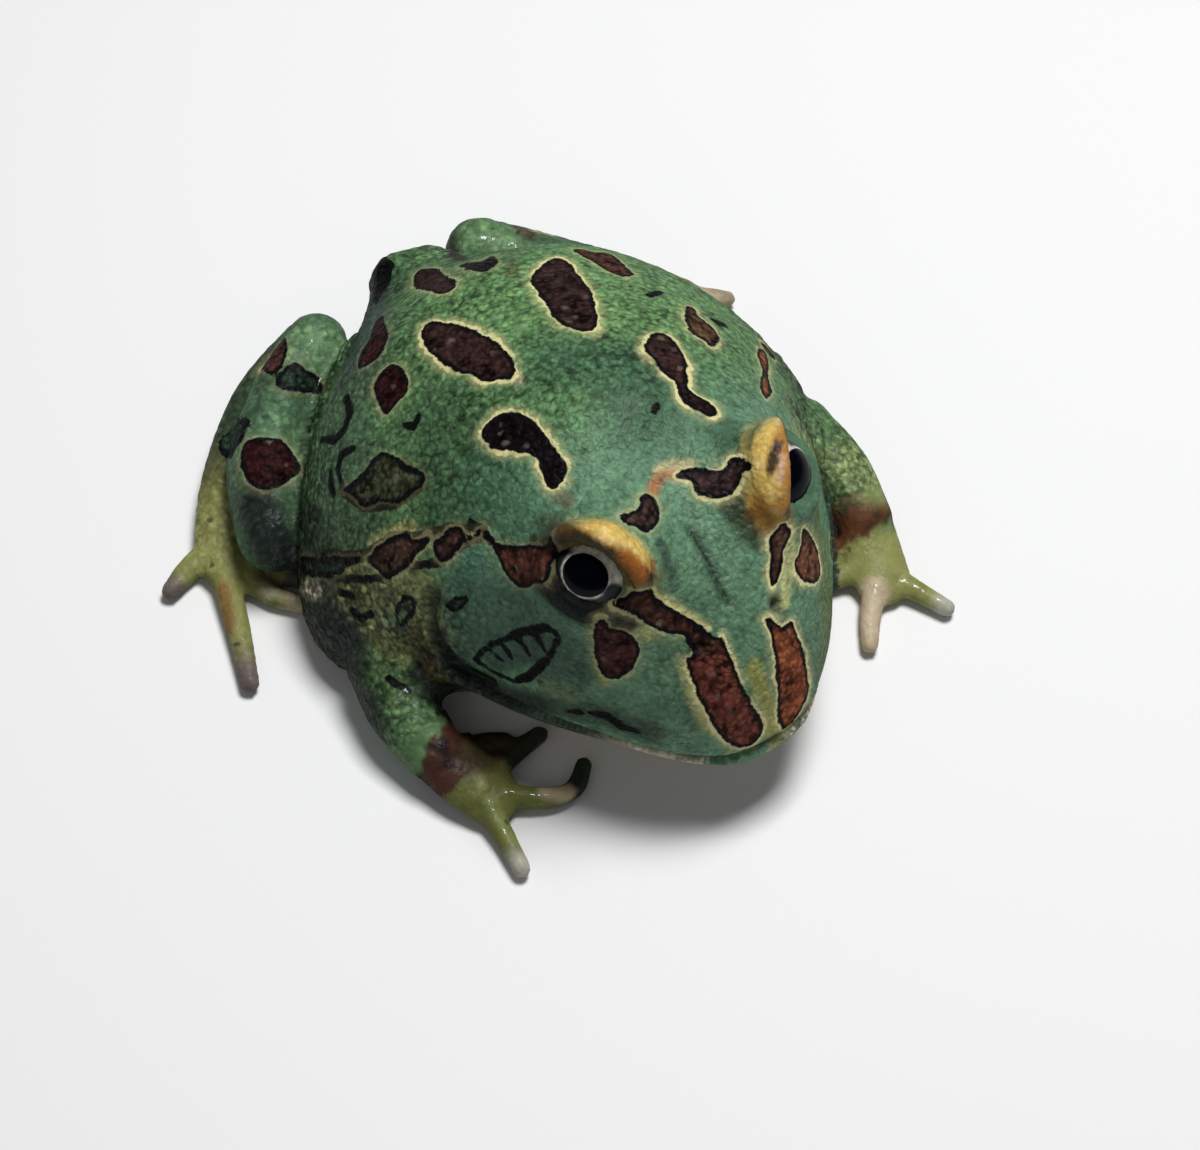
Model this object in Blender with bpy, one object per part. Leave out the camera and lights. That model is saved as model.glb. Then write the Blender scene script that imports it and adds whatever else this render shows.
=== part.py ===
"""Argentine horned frog, life size, crouching still with its belly on the ground.

+X is the frog's left, -Y the way it faces, +Z up. The origin is on the ground under its belly.
Everything is modelled in millimetres, and the last step turns each finished mesh into metres.
The trunk is one form, parted by flat cuts into the torso, the head and the lower jaw. Each
length of limb is a form of its own, cut clear of what it grows from, so that every joint is a
seam of even width.
"""

import math

import bmesh
import bpy
from mathutils import Matrix, Vector

MM = 0.001
SEAM = 0.3  # gap between two pieces that meet
SIDES = {"right": -1, "left": 1}  # the frog's own right and left, and the sign of X there

# Trunk: stations from the lip to the vent.
# (y, half width, z of the top, z of the widest line, z of the underside, upper and lower squareness)
TRUNK_STATIONS = [
    (-44.2, 0.0, 15.5, 15.5, 15.5, 2.0, 2.0),
    (-43.4, 6.0, 20.0, 16.4, 12.0, 2.0, 1.7),
    (-41.0, 10.6, 27.6, 17.6, 10.2, 1.9, 1.6),
    (-37.0, 15.3, 33.8, 18.6, 8.8, 1.8, 1.6),
    (-31.0, 20.0, 38.8, 19.2, 7.2, 1.75, 1.7),
    (-24.0, 24.6, 42.4, 18.8, 4.8, 1.75, 1.95),
    (-15.0, 29.6, 46.0, 17.2, 1.9, 1.75, 2.4),
    (-6.0, 34.4, 48.6, 12.2, -0.4, 1.85, 2.5),
    (4.0, 38.9, 47.9, 5.5, -0.9, 1.9, 2.4),
    (14.0, 40.3, 45.5, 3.3, -1.6, 1.95, 2.4),
    (24.0, 36.5, 42.2, 6.2, -1.4, 2.0, 2.0),
    (33.0, 28.1, 38.3, 12.5, -0.7, 2.1, 1.5),
    (40.0, 18.9, 31.6, 16.4, 1.6, 2.1, 1.5),
    (46.0, 11.9, 26.2, 18.6, 6.0, 2.1, 1.5),
    (50.2, 7.8, 24.0, 19.0, 11.5, 2.0, 1.7),
    (53.2, 5.6, 22.6, 18.8, 14.6, 2.0, 1.9),
    (54.6, 0.0, 18.8, 18.8, 18.8, 2.0, 2.0),
]
TRUNK_AROUND = 56
TRUNK_RINGS = 40

# Swellings of the trunk: (point, height, reach)
SWELLINGS = [
    ((-40.5, 5.5, 8.0), 1.9, 8.0),  # the flank over each elbow
    ((40.2, 5.0, 13.0), 1.9, 7.0),
    ((-4.2, 52.0, 24.0), 1.5, 3.4),  # the hip bone beside the vent
]

# Head
NECK_Y = -7.0
LIP = (-44.2, 15.0)  # (y, z) of the mouth line at the front
MOUTH_CORNER = (-9.9, 17.8)  # and at the corner of the mouth
LOWER_LIP_INSET = 0.7
LIP_ROLL = (0.5, 2.2)  # how far each lip swells out, and how far from the mouth line
LIP_LOOPS = (0.9, 2.4)  # distances from the mouth line of the lips' edge loops
NOSTRIL = (6.1, -36.0, 33.0)
NOSTRIL_RADIUS = 0.8
BROW_GROOVE = (1.6, 6.0)  # depth and reach of the dip between the eyes

# Eyes. Their lids are placed on three axes through the eye's centre: towards the front corner of
# the eye, up the opening, and out along the eye's own axis.
EYE_RADIUS = 5.8
EYE_CENTRE = (14.1, -22.0, 40.3)
EYE_OUT = (0.576, -0.510, 0.640)
EYE_FRONT = (-0.490, -0.850, -0.240)
SOCKET_SWELL = (8.0, 8.8)  # height and reach of the swelling that holds each eye
EYE_OPENING = (6.1, 4.5, 8.0)  # half size of the opening between the lids, on the eye's own axes

# The upper lid is the fleshy, horn-like brow, a flap that droops a little as it stands out over
# the eye, and the lower one is a low rim
LID_DROOP = 15  # degrees
# (to the front, up, out, half breadth outwards, half thickness)
UPPER_LID = [
    (7.4, 1.0, 1.6, 1.4, 0.9),
    (6.6, 3.0, 2.8, 2.1, 1.2),
    (5.0, 4.7, 3.9, 2.6, 1.4),
    (2.5, 6.0, 4.8, 2.9, 1.5),
    (-0.5, 6.4, 5.0, 2.9, 1.5),
    (-3.6, 5.3, 4.5, 2.4, 1.3),
    (-5.8, 3.2, 3.4, 1.8, 1.1),
    (-6.8, 0.9, 2.0, 1.2, 0.9),
]
LOWER_LID = [
    (7.0, -0.4, 1.4, 1.0, 1.0),
    (4.6, -3.6, 3.4, 1.1, 1.0),
    (0.4, -5.0, 4.0, 1.1, 1.0),
    (-4.0, -3.8, 3.4, 1.1, 1.0),
    (-6.6, -0.2, 1.8, 1.0, 1.0),
]

# Fore limbs: (x, y, z, half width, half height), x being positive outwards
FORE = {
    "right": {
        "upper_arm": [(24, -8, 15, 6.0, 6.0), (30, -4.6, 11, 6.4, 6.4), (35.8, -0.8, 8, 5.8, 6.0)],
        "forearm": [
            (36.0, -1.3, 7.8, 5.6, 5.8),
            (37.2, -8.0, 6.8, 5.3, 5.2),
            (37.0, -15.6, 5.2, 4.3, 3.8),
        ],
        "hand": [
            (37.0, -15.0, 5.0, 4.2, 3.6),
            (35.0, -20.2, 3.8, 4.8, 2.7),
            (33.4, -24.4, 2.6, 4.5, 2.2),
        ],
        "digits": [
            [(33.4, -16.2, 3.4, 2.3), (30.4, -16.8, 2.9, 2.2), (27.2, -18.0, 2.2, 1.8)],
            [(32.0, -21.8, 2.8, 2.0), (26.8, -20.3, 2.3, 1.6), (21.8, -19.4, 1.8, 1.3)],
            [
                (32.0, -25.2, 2.5, 1.9),
                (26.4, -29.2, 2.1, 1.5),
                (22.4, -29.6, 1.8, 1.4),
                (19.2, -27.0, 1.6, 1.2),
            ],
            [(34.6, -26.4, 2.4, 1.9), (35.0, -31.4, 2.0, 1.5), (35.6, -36.6, 1.7, 1.3)],
        ],
    },
    "left": {
        "upper_arm": [(24, -8, 15, 6.0, 6.0), (30.4, -4.2, 12.2, 6.2, 6.2), (36.5, 0.2, 9.6, 5.6, 5.8)],
        "forearm": [
            (36.8, -0.4, 9.4, 5.4, 5.6),
            (38.0, -7.8, 7.6, 5.2, 5.2),
            (37.8, -15.4, 5.6, 4.2, 3.8),
        ],
        "hand": [
            (37.8, -15.0, 5.4, 4.1, 3.6),
            (36.2, -19.8, 3.8, 4.4, 2.6),
            (35.0, -24.2, 2.6, 4.3, 2.2),
        ],
        "digits": [
            [(33.6, -17.0, 3.0, 2.0), (30.6, -16.4, 2.6, 1.8), (27.6, -16.4, 2.0, 1.4)],
            [(32.8, -21.0, 2.7, 1.8), (28.0, -20.2, 2.2, 1.5), (23.2, -19.6, 1.8, 1.2)],
            [(33.0, -25.2, 2.4, 1.9), (29.6, -28.8, 2.0, 1.6), (27.0, -32.4, 1.8, 1.3)],
            [(36.6, -25.2, 2.4, 1.9), (38.6, -29.4, 2.0, 1.5), (40.3, -33.2, 1.7, 1.3)],
        ],
    },
}

# Hind limbs, in the same way
HIND = {
    "right": {
        "thigh": [(11, 44, 12, 5.6, 6.5), (22, 37, 9, 6.0, 7.0), (35.0, 28.4, 8.4, 5.0, 5.6)],
        "shank": [
            (38.4, 27.2, 9.4, 5.6, 6.2),
            (33.8, 37.4, 9.8, 6.0, 6.4),
            (25.8, 46.4, 10.8, 5.2, 5.6),
            (16.4, 52.6, 12.2, 4.7, 4.6),
        ],
        "foot": [
            (17.4, 54.2, 9.8, 4.4, 4.4),
            (27.4, 51.6, 6.8, 4.1, 3.8),
            (37.2, 43.2, 4.6, 4.2, 3.3),
            (43.4, 34.8, 2.8, 4.3, 2.5),
            (45.0, 30.6, 2.4, 4.0, 2.2),
        ],
        "digits": [
            [(41.4, 32.4, 2.0, 1.9), (38.6, 29.4, 1.7, 1.6), (36.8, 27.0, 1.5, 1.3)],
            [(42.0, 30.0, 2.0, 2.0), (39.4, 26.0, 1.7, 1.8), (37.2, 23.0, 1.5, 1.4)],
            [(44.0, 28.4, 2.2, 1.9), (42.2, 22.8, 1.8, 1.6), (39.2, 18.8, 1.6, 1.3)],
            [(46.2, 29.6, 2.4, 2.1), (49.2, 20.0, 2.0, 1.8), (52.4, 10.8, 1.7, 1.4)],
            [(46.6, 33.8, 2.4, 2.1), (50.4, 33.0, 2.0, 1.8), (54.2, 31.4, 1.7, 1.4)],
        ],
    },
    "left": {
        "thigh": [(11, 44, 12, 5.6, 6.5), (21, 36, 9, 6.0, 7.0), (32.6, 26.4, 8.4, 5.0, 5.6)],
        "shank": [
            (34.4, 25.4, 8.8, 5.4, 5.8),
            (30.4, 35.6, 9.0, 5.6, 5.8),
            (23.4, 45.2, 10.8, 5.0, 5.4),
            (13.6, 54.0, 13.4, 5.2, 5.2),
        ],
        "foot": [
            (15.8, 55.4, 9.4, 4.4, 4.4),
            (25.8, 51.6, 6.0, 3.8, 3.4),
            (34.4, 43.6, 3.8, 3.7, 2.8),
            (38.8, 37.0, 2.6, 4.2, 2.4),
            (40.2, 34.0, 2.4, 4.0, 2.2),
        ],
        "digits": [
            [(36.8, 35.2, 2.0, 1.9), (34.0, 32.6, 1.7, 1.6), (32.0, 30.6, 1.5, 1.3)],
            [(37.4, 33.0, 2.0, 1.9), (35.4, 29.2, 1.7, 1.6), (34.4, 26.4, 1.5, 1.3)],
            [(39.0, 31.4, 2.2, 1.9), (38.2, 27.0, 1.8, 1.6), (37.4, 23.4, 1.6, 1.3)],
            [(41.0, 31.8, 2.4, 2.1), (41.4, 24.8, 2.0, 1.7), (41.2, 16.6, 1.7, 1.4)],
            [(42.0, 35.0, 2.4, 2.0), (44.0, 34.4, 2.0, 1.7), (46.2, 33.2, 1.7, 1.3)],
        ],
    },
}

EYE_SEGMENTS = 20
LID_AROUND = 10
RIM_AROUND = 8
LID_RINGS = 14
LIMB_AROUND = 16
LIMB_RINGS = 12
DIGIT_AROUND = 8
DIGIT_RINGS = 9
SAMPLES = 60  # along each limb

COLOURS = {
    "torso": (0.06, 0.2, 0.09),
    "head": (0.06, 0.21, 0.12),
    "lower_jaw": (0.55, 0.55, 0.38),
    "upper_eyelid": (0.62, 0.4, 0.1),
    "eye": (0.02, 0.02, 0.025),
    "limb": (0.1, 0.22, 0.08),
    "digit": (0.28, 0.27, 0.12),
}


def smooth_row(rows, t):
    """The row at t, from 0 to the last row's number, on a smooth curve through all the rows."""
    i = min(int(t), len(rows) - 2)
    f = t - i
    before, a, b, after = (rows[max(0, min(len(rows) - 1, i + k))] for k in (-1, 0, 1, 2))
    out = []
    for p, q, r, s in zip(before, a, b, after):
        tq, tr = (r - p) / 2, (s - q) / 2
        out.append(
            (2 * f**3 - 3 * f**2 + 1) * q
            + (f**3 - 2 * f**2 + f) * tq
            + (3 * f**2 - 2 * f**3) * r
            + (f**3 - f**2) * tr
        )
    return out


def face_out(bm):
    """Turn the faces of a closed surface outwards."""
    bmesh.ops.recalc_face_normals(bm, faces=bm.faces)
    if bm.calc_volume(signed=True) < 0:
        bmesh.ops.reverse_faces(bm, faces=bm.faces)


def new_object(name, bm, collection):
    """An object of its own mesh from the bmesh."""
    face_out(bm)
    mesh = bpy.data.meshes.new(name)
    bm.to_mesh(mesh)
    bm.free()
    obj = bpy.data.objects.new(name, mesh)
    collection.objects.link(obj)
    return obj


def trunk_form():
    """The trunk as a bmesh: a sphere whose rings become the sections at the stations."""
    bm = bmesh.new()
    bmesh.ops.create_uvsphere(bm, u_segments=TRUNK_AROUND, v_segments=TRUNK_RINGS, radius=1)
    last = len(TRUNK_STATIONS) - 1
    for vert in bm.verts:
        along = math.acos(max(-1, min(1, vert.co.z))) / math.pi
        around = math.atan2(vert.co.y, vert.co.x)
        y, half_width, top, widest, bottom, upper, lower = smooth_row(TRUNK_STATIONS, along * last)
        cx, sz = math.cos(around), math.sin(around)
        n = upper if sz >= 0 else lower
        x = math.copysign(abs(cx) ** (2 / n), cx) * half_width
        up = abs(sz) ** (2 / n)
        z = widest + up * (top - widest) if sz >= 0 else widest - up * (widest - bottom)
        vert.co = (x, y, z)
    face_out(bm)
    for swelling in SWELLINGS:
        swell(bm, *swelling)
    return bm


def swell(bm, centre, height, reach):
    """Raise the surface round a point, most at the point, by the height."""
    centre = Vector(centre)
    bm.normal_update()
    moves = []
    for vert in bm.verts:
        near = (vert.co - centre).length / reach
        moves.append(vert.normal * height * math.exp(-near * near))
    for vert, move in zip(bm.verts, moves):
        vert.co += move


def mouth_height(y):
    """Z of the mouth line at y."""
    slope = (MOUTH_CORNER[1] - LIP[1]) / (MOUTH_CORNER[0] - LIP[0])
    return LIP[1] + (y - LIP[0]) * slope


def shape_head(bm, lip_inset):
    """Raise the sockets of the eyes, dip the brow, and roll the lips out along the mouth."""
    for side in SIDES.values():
        x, y, z = EYE_CENTRE
        swell(bm, (side * x, y, z), *SOCKET_SWELL)
    depth, reach = BROW_GROOVE
    for vert in bm.verts:
        x, y, z = vert.co
        if z > 25 and -36 < y < -4:
            ends = math.sin(math.pi * (y + 36) / 32)
            vert.co.z -= depth * ends * math.exp(-((x / reach) ** 2))
        if y < NECK_Y:
            roll, spread = LIP_ROLL
            above = z - mouth_height(y)
            out = roll * math.exp(-((above / spread) ** 2)) - lip_inset
            away = Vector((x, y - NECK_Y, 0))
            if away.length > 1:
                vert.co += away.normalized() * out * min(1, (NECK_Y - y) / 5)
    for vert in bm.verts:
        vert.co.z = max(vert.co.z, 0)


def cut_flat(bm, point, normal):
    """Keep what lies behind the plane, and close the cut."""
    geometry = list(bm.verts) + list(bm.edges) + list(bm.faces)
    cut = bmesh.ops.bisect_plane(bm, geom=geometry, plane_co=point, plane_no=normal, clear_outer=True)
    edges = [item for item in cut["geom_cut"] if isinstance(item, bmesh.types.BMEdge)]
    filled = bmesh.ops.edgeloop_fill(bm, edges=edges)
    bmesh.ops.triangulate(bm, faces=filled["faces"])


def swept(name, stations, around, rings, collection, side=1, broad=None):
    """A limb: a sphere drawn out along the smooth curve through the stations, with round ends.

    Its width is level, or lies along the direction broad, where one is given."""
    stations = [(side * row[0], *row[1:]) for row in stations]
    if len(stations[0]) == 4:
        stations = [(*row, row[3]) for row in stations]
    last = len(stations) - 1
    samples = [smooth_row(stations, last * k / SAMPLES) for k in range(SAMPLES + 1)]
    steps = [(Vector(b[:3]) - Vector(a[:3])).length for a, b in zip(samples, samples[1:])]
    reach = [sum(steps[:k]) for k in range(SAMPLES + 1)]
    start, end = samples[0][3], samples[-1][3]
    length = start + reach[-1] + end
    bm = bmesh.new()
    bmesh.ops.create_uvsphere(bm, u_segments=around, v_segments=rings, radius=1)
    for vert in bm.verts:
        at = length * (1 - max(-1, min(1, vert.co.z))) / 2 - start
        beyond = min(at, 0) + max(at - reach[-1], 0)
        k = max([i for i in range(SAMPLES) if reach[i] <= at] or [0])
        f = max(0, min(1, (at - reach[k]) / steps[k]))
        here = [a + (b - a) * f for a, b in zip(samples[k], samples[k + 1])]
        ahead = (Vector(samples[k + 1][:3]) - Vector(samples[k][:3])).normalized()
        across = broad - ahead * broad.dot(ahead) if broad else ahead.cross(Vector((0, 0, 1)))
        across.normalize()
        up = across.cross(ahead)
        fullness = math.sqrt(max(0, 1 - (beyond / here[3]) ** 2))
        angle = math.atan2(vert.co.y, vert.co.x)
        place = Vector(here[:3]) + ahead * beyond
        place += across * math.cos(angle) * here[3] * fullness
        place += up * math.sin(angle) * here[4] * fullness
        vert.co = (place.x, place.y, max(place.z, 0))
    return new_object(name, bm, collection)


def ball(name, centre, radius, collection, segments=EYE_SEGMENTS, stretch=None):
    """A sphere, or an ellipsoid where stretch gives its three half axes."""
    bm = bmesh.new()
    bmesh.ops.create_uvsphere(bm, u_segments=segments, v_segments=segments // 2, radius=radius)
    if stretch:
        bmesh.ops.transform(bm, verts=bm.verts, matrix=Matrix(stretch).transposed().to_4x4())
    bmesh.ops.translate(bm, verts=bm.verts, vec=centre)
    return new_object(name, bm, collection)


def grown(obj, by, collection):
    """A copy of the object, larger all round by the distance."""
    bm = bmesh.new()
    bm.from_mesh(obj.data)
    bm.normal_update()
    for vert in bm.verts:
        vert.co += vert.normal * by * min(vert.calc_shell_factor(), 2)
    copy = new_object(obj.name + "_room", bm, collection)
    return copy


def keep_largest(obj):
    """Drop loose scraps that a cut leaves, and keep the largest closed surface."""
    bm = bmesh.new()
    bm.from_mesh(obj.data)
    left = set(bm.faces)
    islands = []
    while left:
        front = [left.pop()]
        island = []
        while front:
            face = front.pop()
            island.append(face)
            for edge in face.edges:
                for other in edge.link_faces:
                    if other in left:
                        left.discard(other)
                        front.append(other)
        islands.append(island)
    islands.sort(key=len)
    for island in islands[:-1]:
        bmesh.ops.delete(bm, geom=island, context="FACES")
    bmesh.ops.triangulate(bm, faces=bm.faces)
    bm.to_mesh(obj.data)
    bm.free()


def boolean(obj, other, operation):
    """Join the other object to this one or cut it from it, and apply the result."""
    modifier = obj.modifiers.new("join", "BOOLEAN")
    modifier.operation = operation
    modifier.object = other
    modifier.solver = "MANIFOLD"
    graph = bpy.context.evaluated_depsgraph_get()
    mesh = bpy.data.meshes.new_from_object(obj.evaluated_get(graph))
    obj.modifiers.remove(modifier)
    obj.data = mesh
    keep_largest(obj)


def apart(obj, other):
    """Whether the two objects' boxes are clear of each other by more than the seam."""
    for axis in range(3):
        ours = [vert.co[axis] for vert in obj.data.vertices]
        theirs = [vert.co[axis] for vert in other.data.vertices]
        if min(ours) > max(theirs) + 2 * SEAM or min(theirs) > max(ours) + 2 * SEAM:
            return True
    return False


def clear_of(obj, others, helpers):
    """Cut the object clear of the others by the seam."""
    for other in others:
        if apart(obj, other):
            continue
        room = grown(other, SEAM, helpers)
        boolean(obj, room, "DIFFERENCE")
        bpy.data.objects.remove(room)


def finish(obj, colour):
    """Turn the mesh into metres, shade it and give it its material."""
    obj.data.transform(Matrix.Scale(MM, 4))
    obj.data.shade_smooth()
    material = bpy.data.materials.new(obj.name)
    material.use_nodes = True
    shader = material.node_tree.nodes["Principled BSDF"]
    shader.inputs["Base Color"].default_value = (*colour, 1)
    shader.inputs["Roughness"].default_value = 0.35
    obj.data.materials.clear()
    obj.data.materials.append(material)


def new_collection(name):
    collection = bpy.data.collections.new(name)
    bpy.context.scene.collection.children.link(collection)
    return collection


def trunk_pieces(frog):
    """The torso, the head and the lower jaw, parted by flat cuts at the neck and the mouth."""
    half = SEAM / 2
    pieces = {}
    mouth_slope = (MOUTH_CORNER[1] - LIP[1]) / (MOUTH_CORNER[0] - LIP[0])
    up = Vector((0, -mouth_slope, 1)).normalized()
    lip = Vector((0, LIP[0], LIP[1]))
    ahead = Vector((0, -1, 0))
    for name in ("torso", "head", "lower_jaw"):
        bm = trunk_form()
        if name != "torso":
            for distance in LIP_LOOPS:
                rise = up * (distance if name == "head" else -distance)
                geometry = list(bm.verts) + list(bm.edges) + list(bm.faces)
                bmesh.ops.bisect_plane(bm, geom=geometry, plane_co=lip + rise, plane_no=up)
        shape_head(bm, LOWER_LIP_INSET if name == "lower_jaw" else 0)
        if name == "torso":
            cut_flat(bm, (0, NECK_Y + half, 0), ahead)
        else:
            cut_flat(bm, (0, NECK_Y - half, 0), -ahead)
        if name == "head":
            cut_flat(bm, lip + up * half, -up)
        if name == "lower_jaw":
            cut_flat(bm, lip - up * half, up)
        pieces[name] = new_object(name, bm, frog)
    return pieces


def eye_axes():
    """The left eye's directions to the front corner, up the opening and out."""
    out = Vector(EYE_OUT).normalized()
    front = Vector(EYE_FRONT)
    front = (front - out * front.dot(out)).normalized()
    return front, front.cross(out), out


def round_eye(rows):
    """Stations at the places on the eye's own axes."""
    front, up, out = eye_axes()
    places = [Vector(EYE_CENTRE) + front * row[0] + up * row[1] + out * row[2] for row in rows]
    return [(*place, *row[3:]) for place, row in zip(places, rows)]


def upper_lid(name, side, frog):
    """The brow over one eye."""
    front, up, out = eye_axes()
    droop = math.radians(LID_DROOP)
    broad = out * math.cos(droop) - up * math.sin(droop)
    broad.x *= side
    return swept(name, round_eye(UPPER_LID), LID_AROUND, LID_RINGS, frog, side, broad)


def head_pieces(frog, helpers, head):
    """Eyes in their sockets, lids over and under them, and the nostrils."""
    eyes, lids = [], []
    for name, side in SIDES.items():
        rim = swept("rim", round_eye(LOWER_LID), RIM_AROUND, LID_RINGS, helpers, side)
        boolean(head, rim, "UNION")
        bpy.data.objects.remove(rim)
    for name, side in SIDES.items():
        centre = Vector((side * EYE_CENTRE[0], *EYE_CENTRE[1:]))
        eye = ball("eye_" + name, centre, EYE_RADIUS, frog)
        axes = [axis * half * Vector((side, 1, 1)) for axis, half in zip(eye_axes(), EYE_OPENING)]
        opening = ball("opening", centre, 1, helpers, stretch=axes)
        boolean(head, opening, "DIFFERENCE")
        bpy.data.objects.remove(opening)
        socket = ball("socket", centre, EYE_RADIUS + SEAM, helpers)
        boolean(head, socket, "DIFFERENCE")
        lid = upper_lid("upper_eyelid_" + name, side, frog)
        boolean(lid, socket, "DIFFERENCE")
        bpy.data.objects.remove(socket)
        x, y, z = NOSTRIL
        pit = ball("pit", (side * x, y, z), NOSTRIL_RADIUS, helpers, 12)
        boolean(head, pit, "DIFFERENCE")
        bpy.data.objects.remove(pit)
        clear_of(lid, [head], helpers)
        eyes.append(eye)
        lids.append(lid)
    return eyes, lids


def limb(lengths, plan, end_name, side_name, root, frog, helpers):
    """One limb, from its root outwards: each length, then the digits of its hand or foot."""
    side = SIDES[side_name]
    made = []
    for length_name in lengths:
        name = f"{length_name}_{side_name}"
        piece = swept(name, plan[length_name], LIMB_AROUND, LIMB_RINGS, frog, side)
        clear_of(piece, root + made, helpers)
        made.append(piece)
    digits = []
    for number, path in reversed(list(enumerate(plan["digits"], 1))):
        name = f"{end_name}_{number}_{side_name}"
        digit = swept(name, path, DIGIT_AROUND, DIGIT_RINGS, frog, side)
        clear_of(digit, root + made + digits, helpers)
        digits.append(digit)
    return made, digits


def main():
    for obj in list(bpy.data.objects):
        bpy.data.objects.remove(obj)
    frog = new_collection("horned_frog")
    helpers = new_collection("cutters")
    trunk = trunk_pieces(frog)
    eyes, lids = head_pieces(frog, helpers, trunk["head"])
    limbs, digits = [], []
    for side_name in SIDES:
        for lengths, plans, end_name in (
            (("upper_arm", "forearm", "hand"), FORE, "finger"),
            (("shank", "thigh", "foot"), HIND, "toe"),
        ):
            root = list(trunk.values())
            plan = plans[side_name]
            made, ends = limb(lengths, plan, end_name, side_name, root, frog, helpers)
            limbs += made
            digits += ends
    for name, piece in trunk.items():
        finish(piece, COLOURS[name])
    for group, colour in ((eyes, "eye"), (lids, "upper_eyelid"), (limbs, "limb"), (digits, "digit")):
        for piece in group:
            finish(piece, COLOURS[colour])


main()
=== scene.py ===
"""Looks of the horned frog: one wet, granular, spotted skin over the whole body, and its two eyes.

The frame comes first, and everything after it is in the frame's own axes: +X is the frog's left,
-Y the way it faces, +Z up, with the origin on the floor under its belly. Forms are worked out in
millimetres and turned into metres as each piece is finished.
"""

import math  # noqa: E402

import bmesh  # noqa: E402
import bpy  # noqa: E402
import numpy as np  # noqa: E402
from mathutils import Matrix, Vector, noise  # noqa: E402
from mathutils.bvhtree import BVHTree  # noqa: E402


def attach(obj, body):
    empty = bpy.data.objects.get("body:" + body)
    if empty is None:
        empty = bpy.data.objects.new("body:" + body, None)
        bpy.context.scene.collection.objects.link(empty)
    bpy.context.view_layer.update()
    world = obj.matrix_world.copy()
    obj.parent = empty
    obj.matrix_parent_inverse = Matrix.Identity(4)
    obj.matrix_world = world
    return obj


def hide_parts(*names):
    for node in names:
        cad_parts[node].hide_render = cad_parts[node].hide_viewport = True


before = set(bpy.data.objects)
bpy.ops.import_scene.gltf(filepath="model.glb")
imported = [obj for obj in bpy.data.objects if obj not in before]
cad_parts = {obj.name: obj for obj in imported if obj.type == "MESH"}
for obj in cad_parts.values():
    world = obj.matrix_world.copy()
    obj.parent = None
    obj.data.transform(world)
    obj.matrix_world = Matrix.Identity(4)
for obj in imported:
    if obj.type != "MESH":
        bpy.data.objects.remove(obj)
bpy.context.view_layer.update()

MM = 0.001
SIDES = {"right": -1, "left": 1}

# Camera: the photograph's view, from the frog's right front and well above it
IMAGE_WIDTH = 1200
IMAGE_HEIGHT = 1150
VIEW_AZIMUTH = -32.8
VIEW_ELEVATION = 55.1
VIEW_DISTANCE = 450.4
VIEW_TARGET = (-6.3, -11.3, 20.0)
FOCAL_PIXELS = 3187.3
SENSOR_WIDTH = 36.0
CLIP = (0.01, 20)  # m

# Light: (direction, distance in m, size in m, power in W)
KEY_LIGHT = ((0.24, 0.06, 0.97), 0.8, 0.26, 6.7)
FILL_LIGHT = ((-0.60, -0.55, 0.60), 0.9, 0.7, 0.5)
WORLD_LIGHT = 0.13
WORLD_COLOUR = (0.92, 0.95, 1.0)
FLOOR_HALF = 3  # m
FLOOR_COLOUR = (0.80, 0.80, 0.80)
FLOOR_ROUGHNESS = 0.85

# Trunk, as in the solids, from the lip to the vent: (y, half width, z of the top, z of the widest
# line, z of the underside, upper and lower squareness)
TRUNK_STATIONS = [
    (-44.2, 0.0, 15.5, 15.5, 15.5, 2.0, 2.0),
    (-43.4, 6.0, 20.0, 16.4, 12.0, 2.0, 1.7),
    (-41.0, 10.6, 27.6, 17.6, 10.2, 1.9, 1.6),
    (-37.0, 15.3, 33.8, 18.6, 8.8, 1.8, 1.6),
    (-31.0, 20.0, 38.8, 19.2, 7.2, 1.75, 1.7),
    (-24.0, 24.6, 42.4, 18.8, 4.8, 1.75, 1.95),
    (-15.0, 29.6, 46.0, 17.2, 1.9, 1.75, 2.4),
    (-6.0, 34.4, 48.6, 12.2, -0.4, 1.85, 2.5),
    (4.0, 38.9, 47.9, 5.5, -0.9, 1.9, 2.4),
    (14.0, 40.3, 45.5, 3.3, -1.6, 1.95, 2.4),
    (24.0, 36.5, 42.2, 6.2, -1.4, 2.0, 2.0),
    (33.0, 28.1, 38.3, 12.5, -0.7, 2.1, 1.5),
    (40.0, 18.9, 31.6, 16.4, 1.6, 2.1, 1.5),
    (46.0, 11.9, 26.2, 18.6, 6.0, 2.1, 1.5),
    (50.2, 7.8, 24.0, 19.0, 11.5, 2.0, 1.7),
    (53.2, 5.6, 22.6, 18.8, 14.6, 2.0, 1.9),
    (54.6, 0.0, 18.8, 18.8, 18.8, 2.0, 2.0),
]
SWELLINGS = [  # (point, height, reach)
    ((-40.5, 5.5, 8.0), 1.9, 8.0),
    ((40.2, 5.0, 13.0), 1.9, 7.0),
    ((-4.2, 52.0, 24.0), 1.5, 3.4),
]

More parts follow.
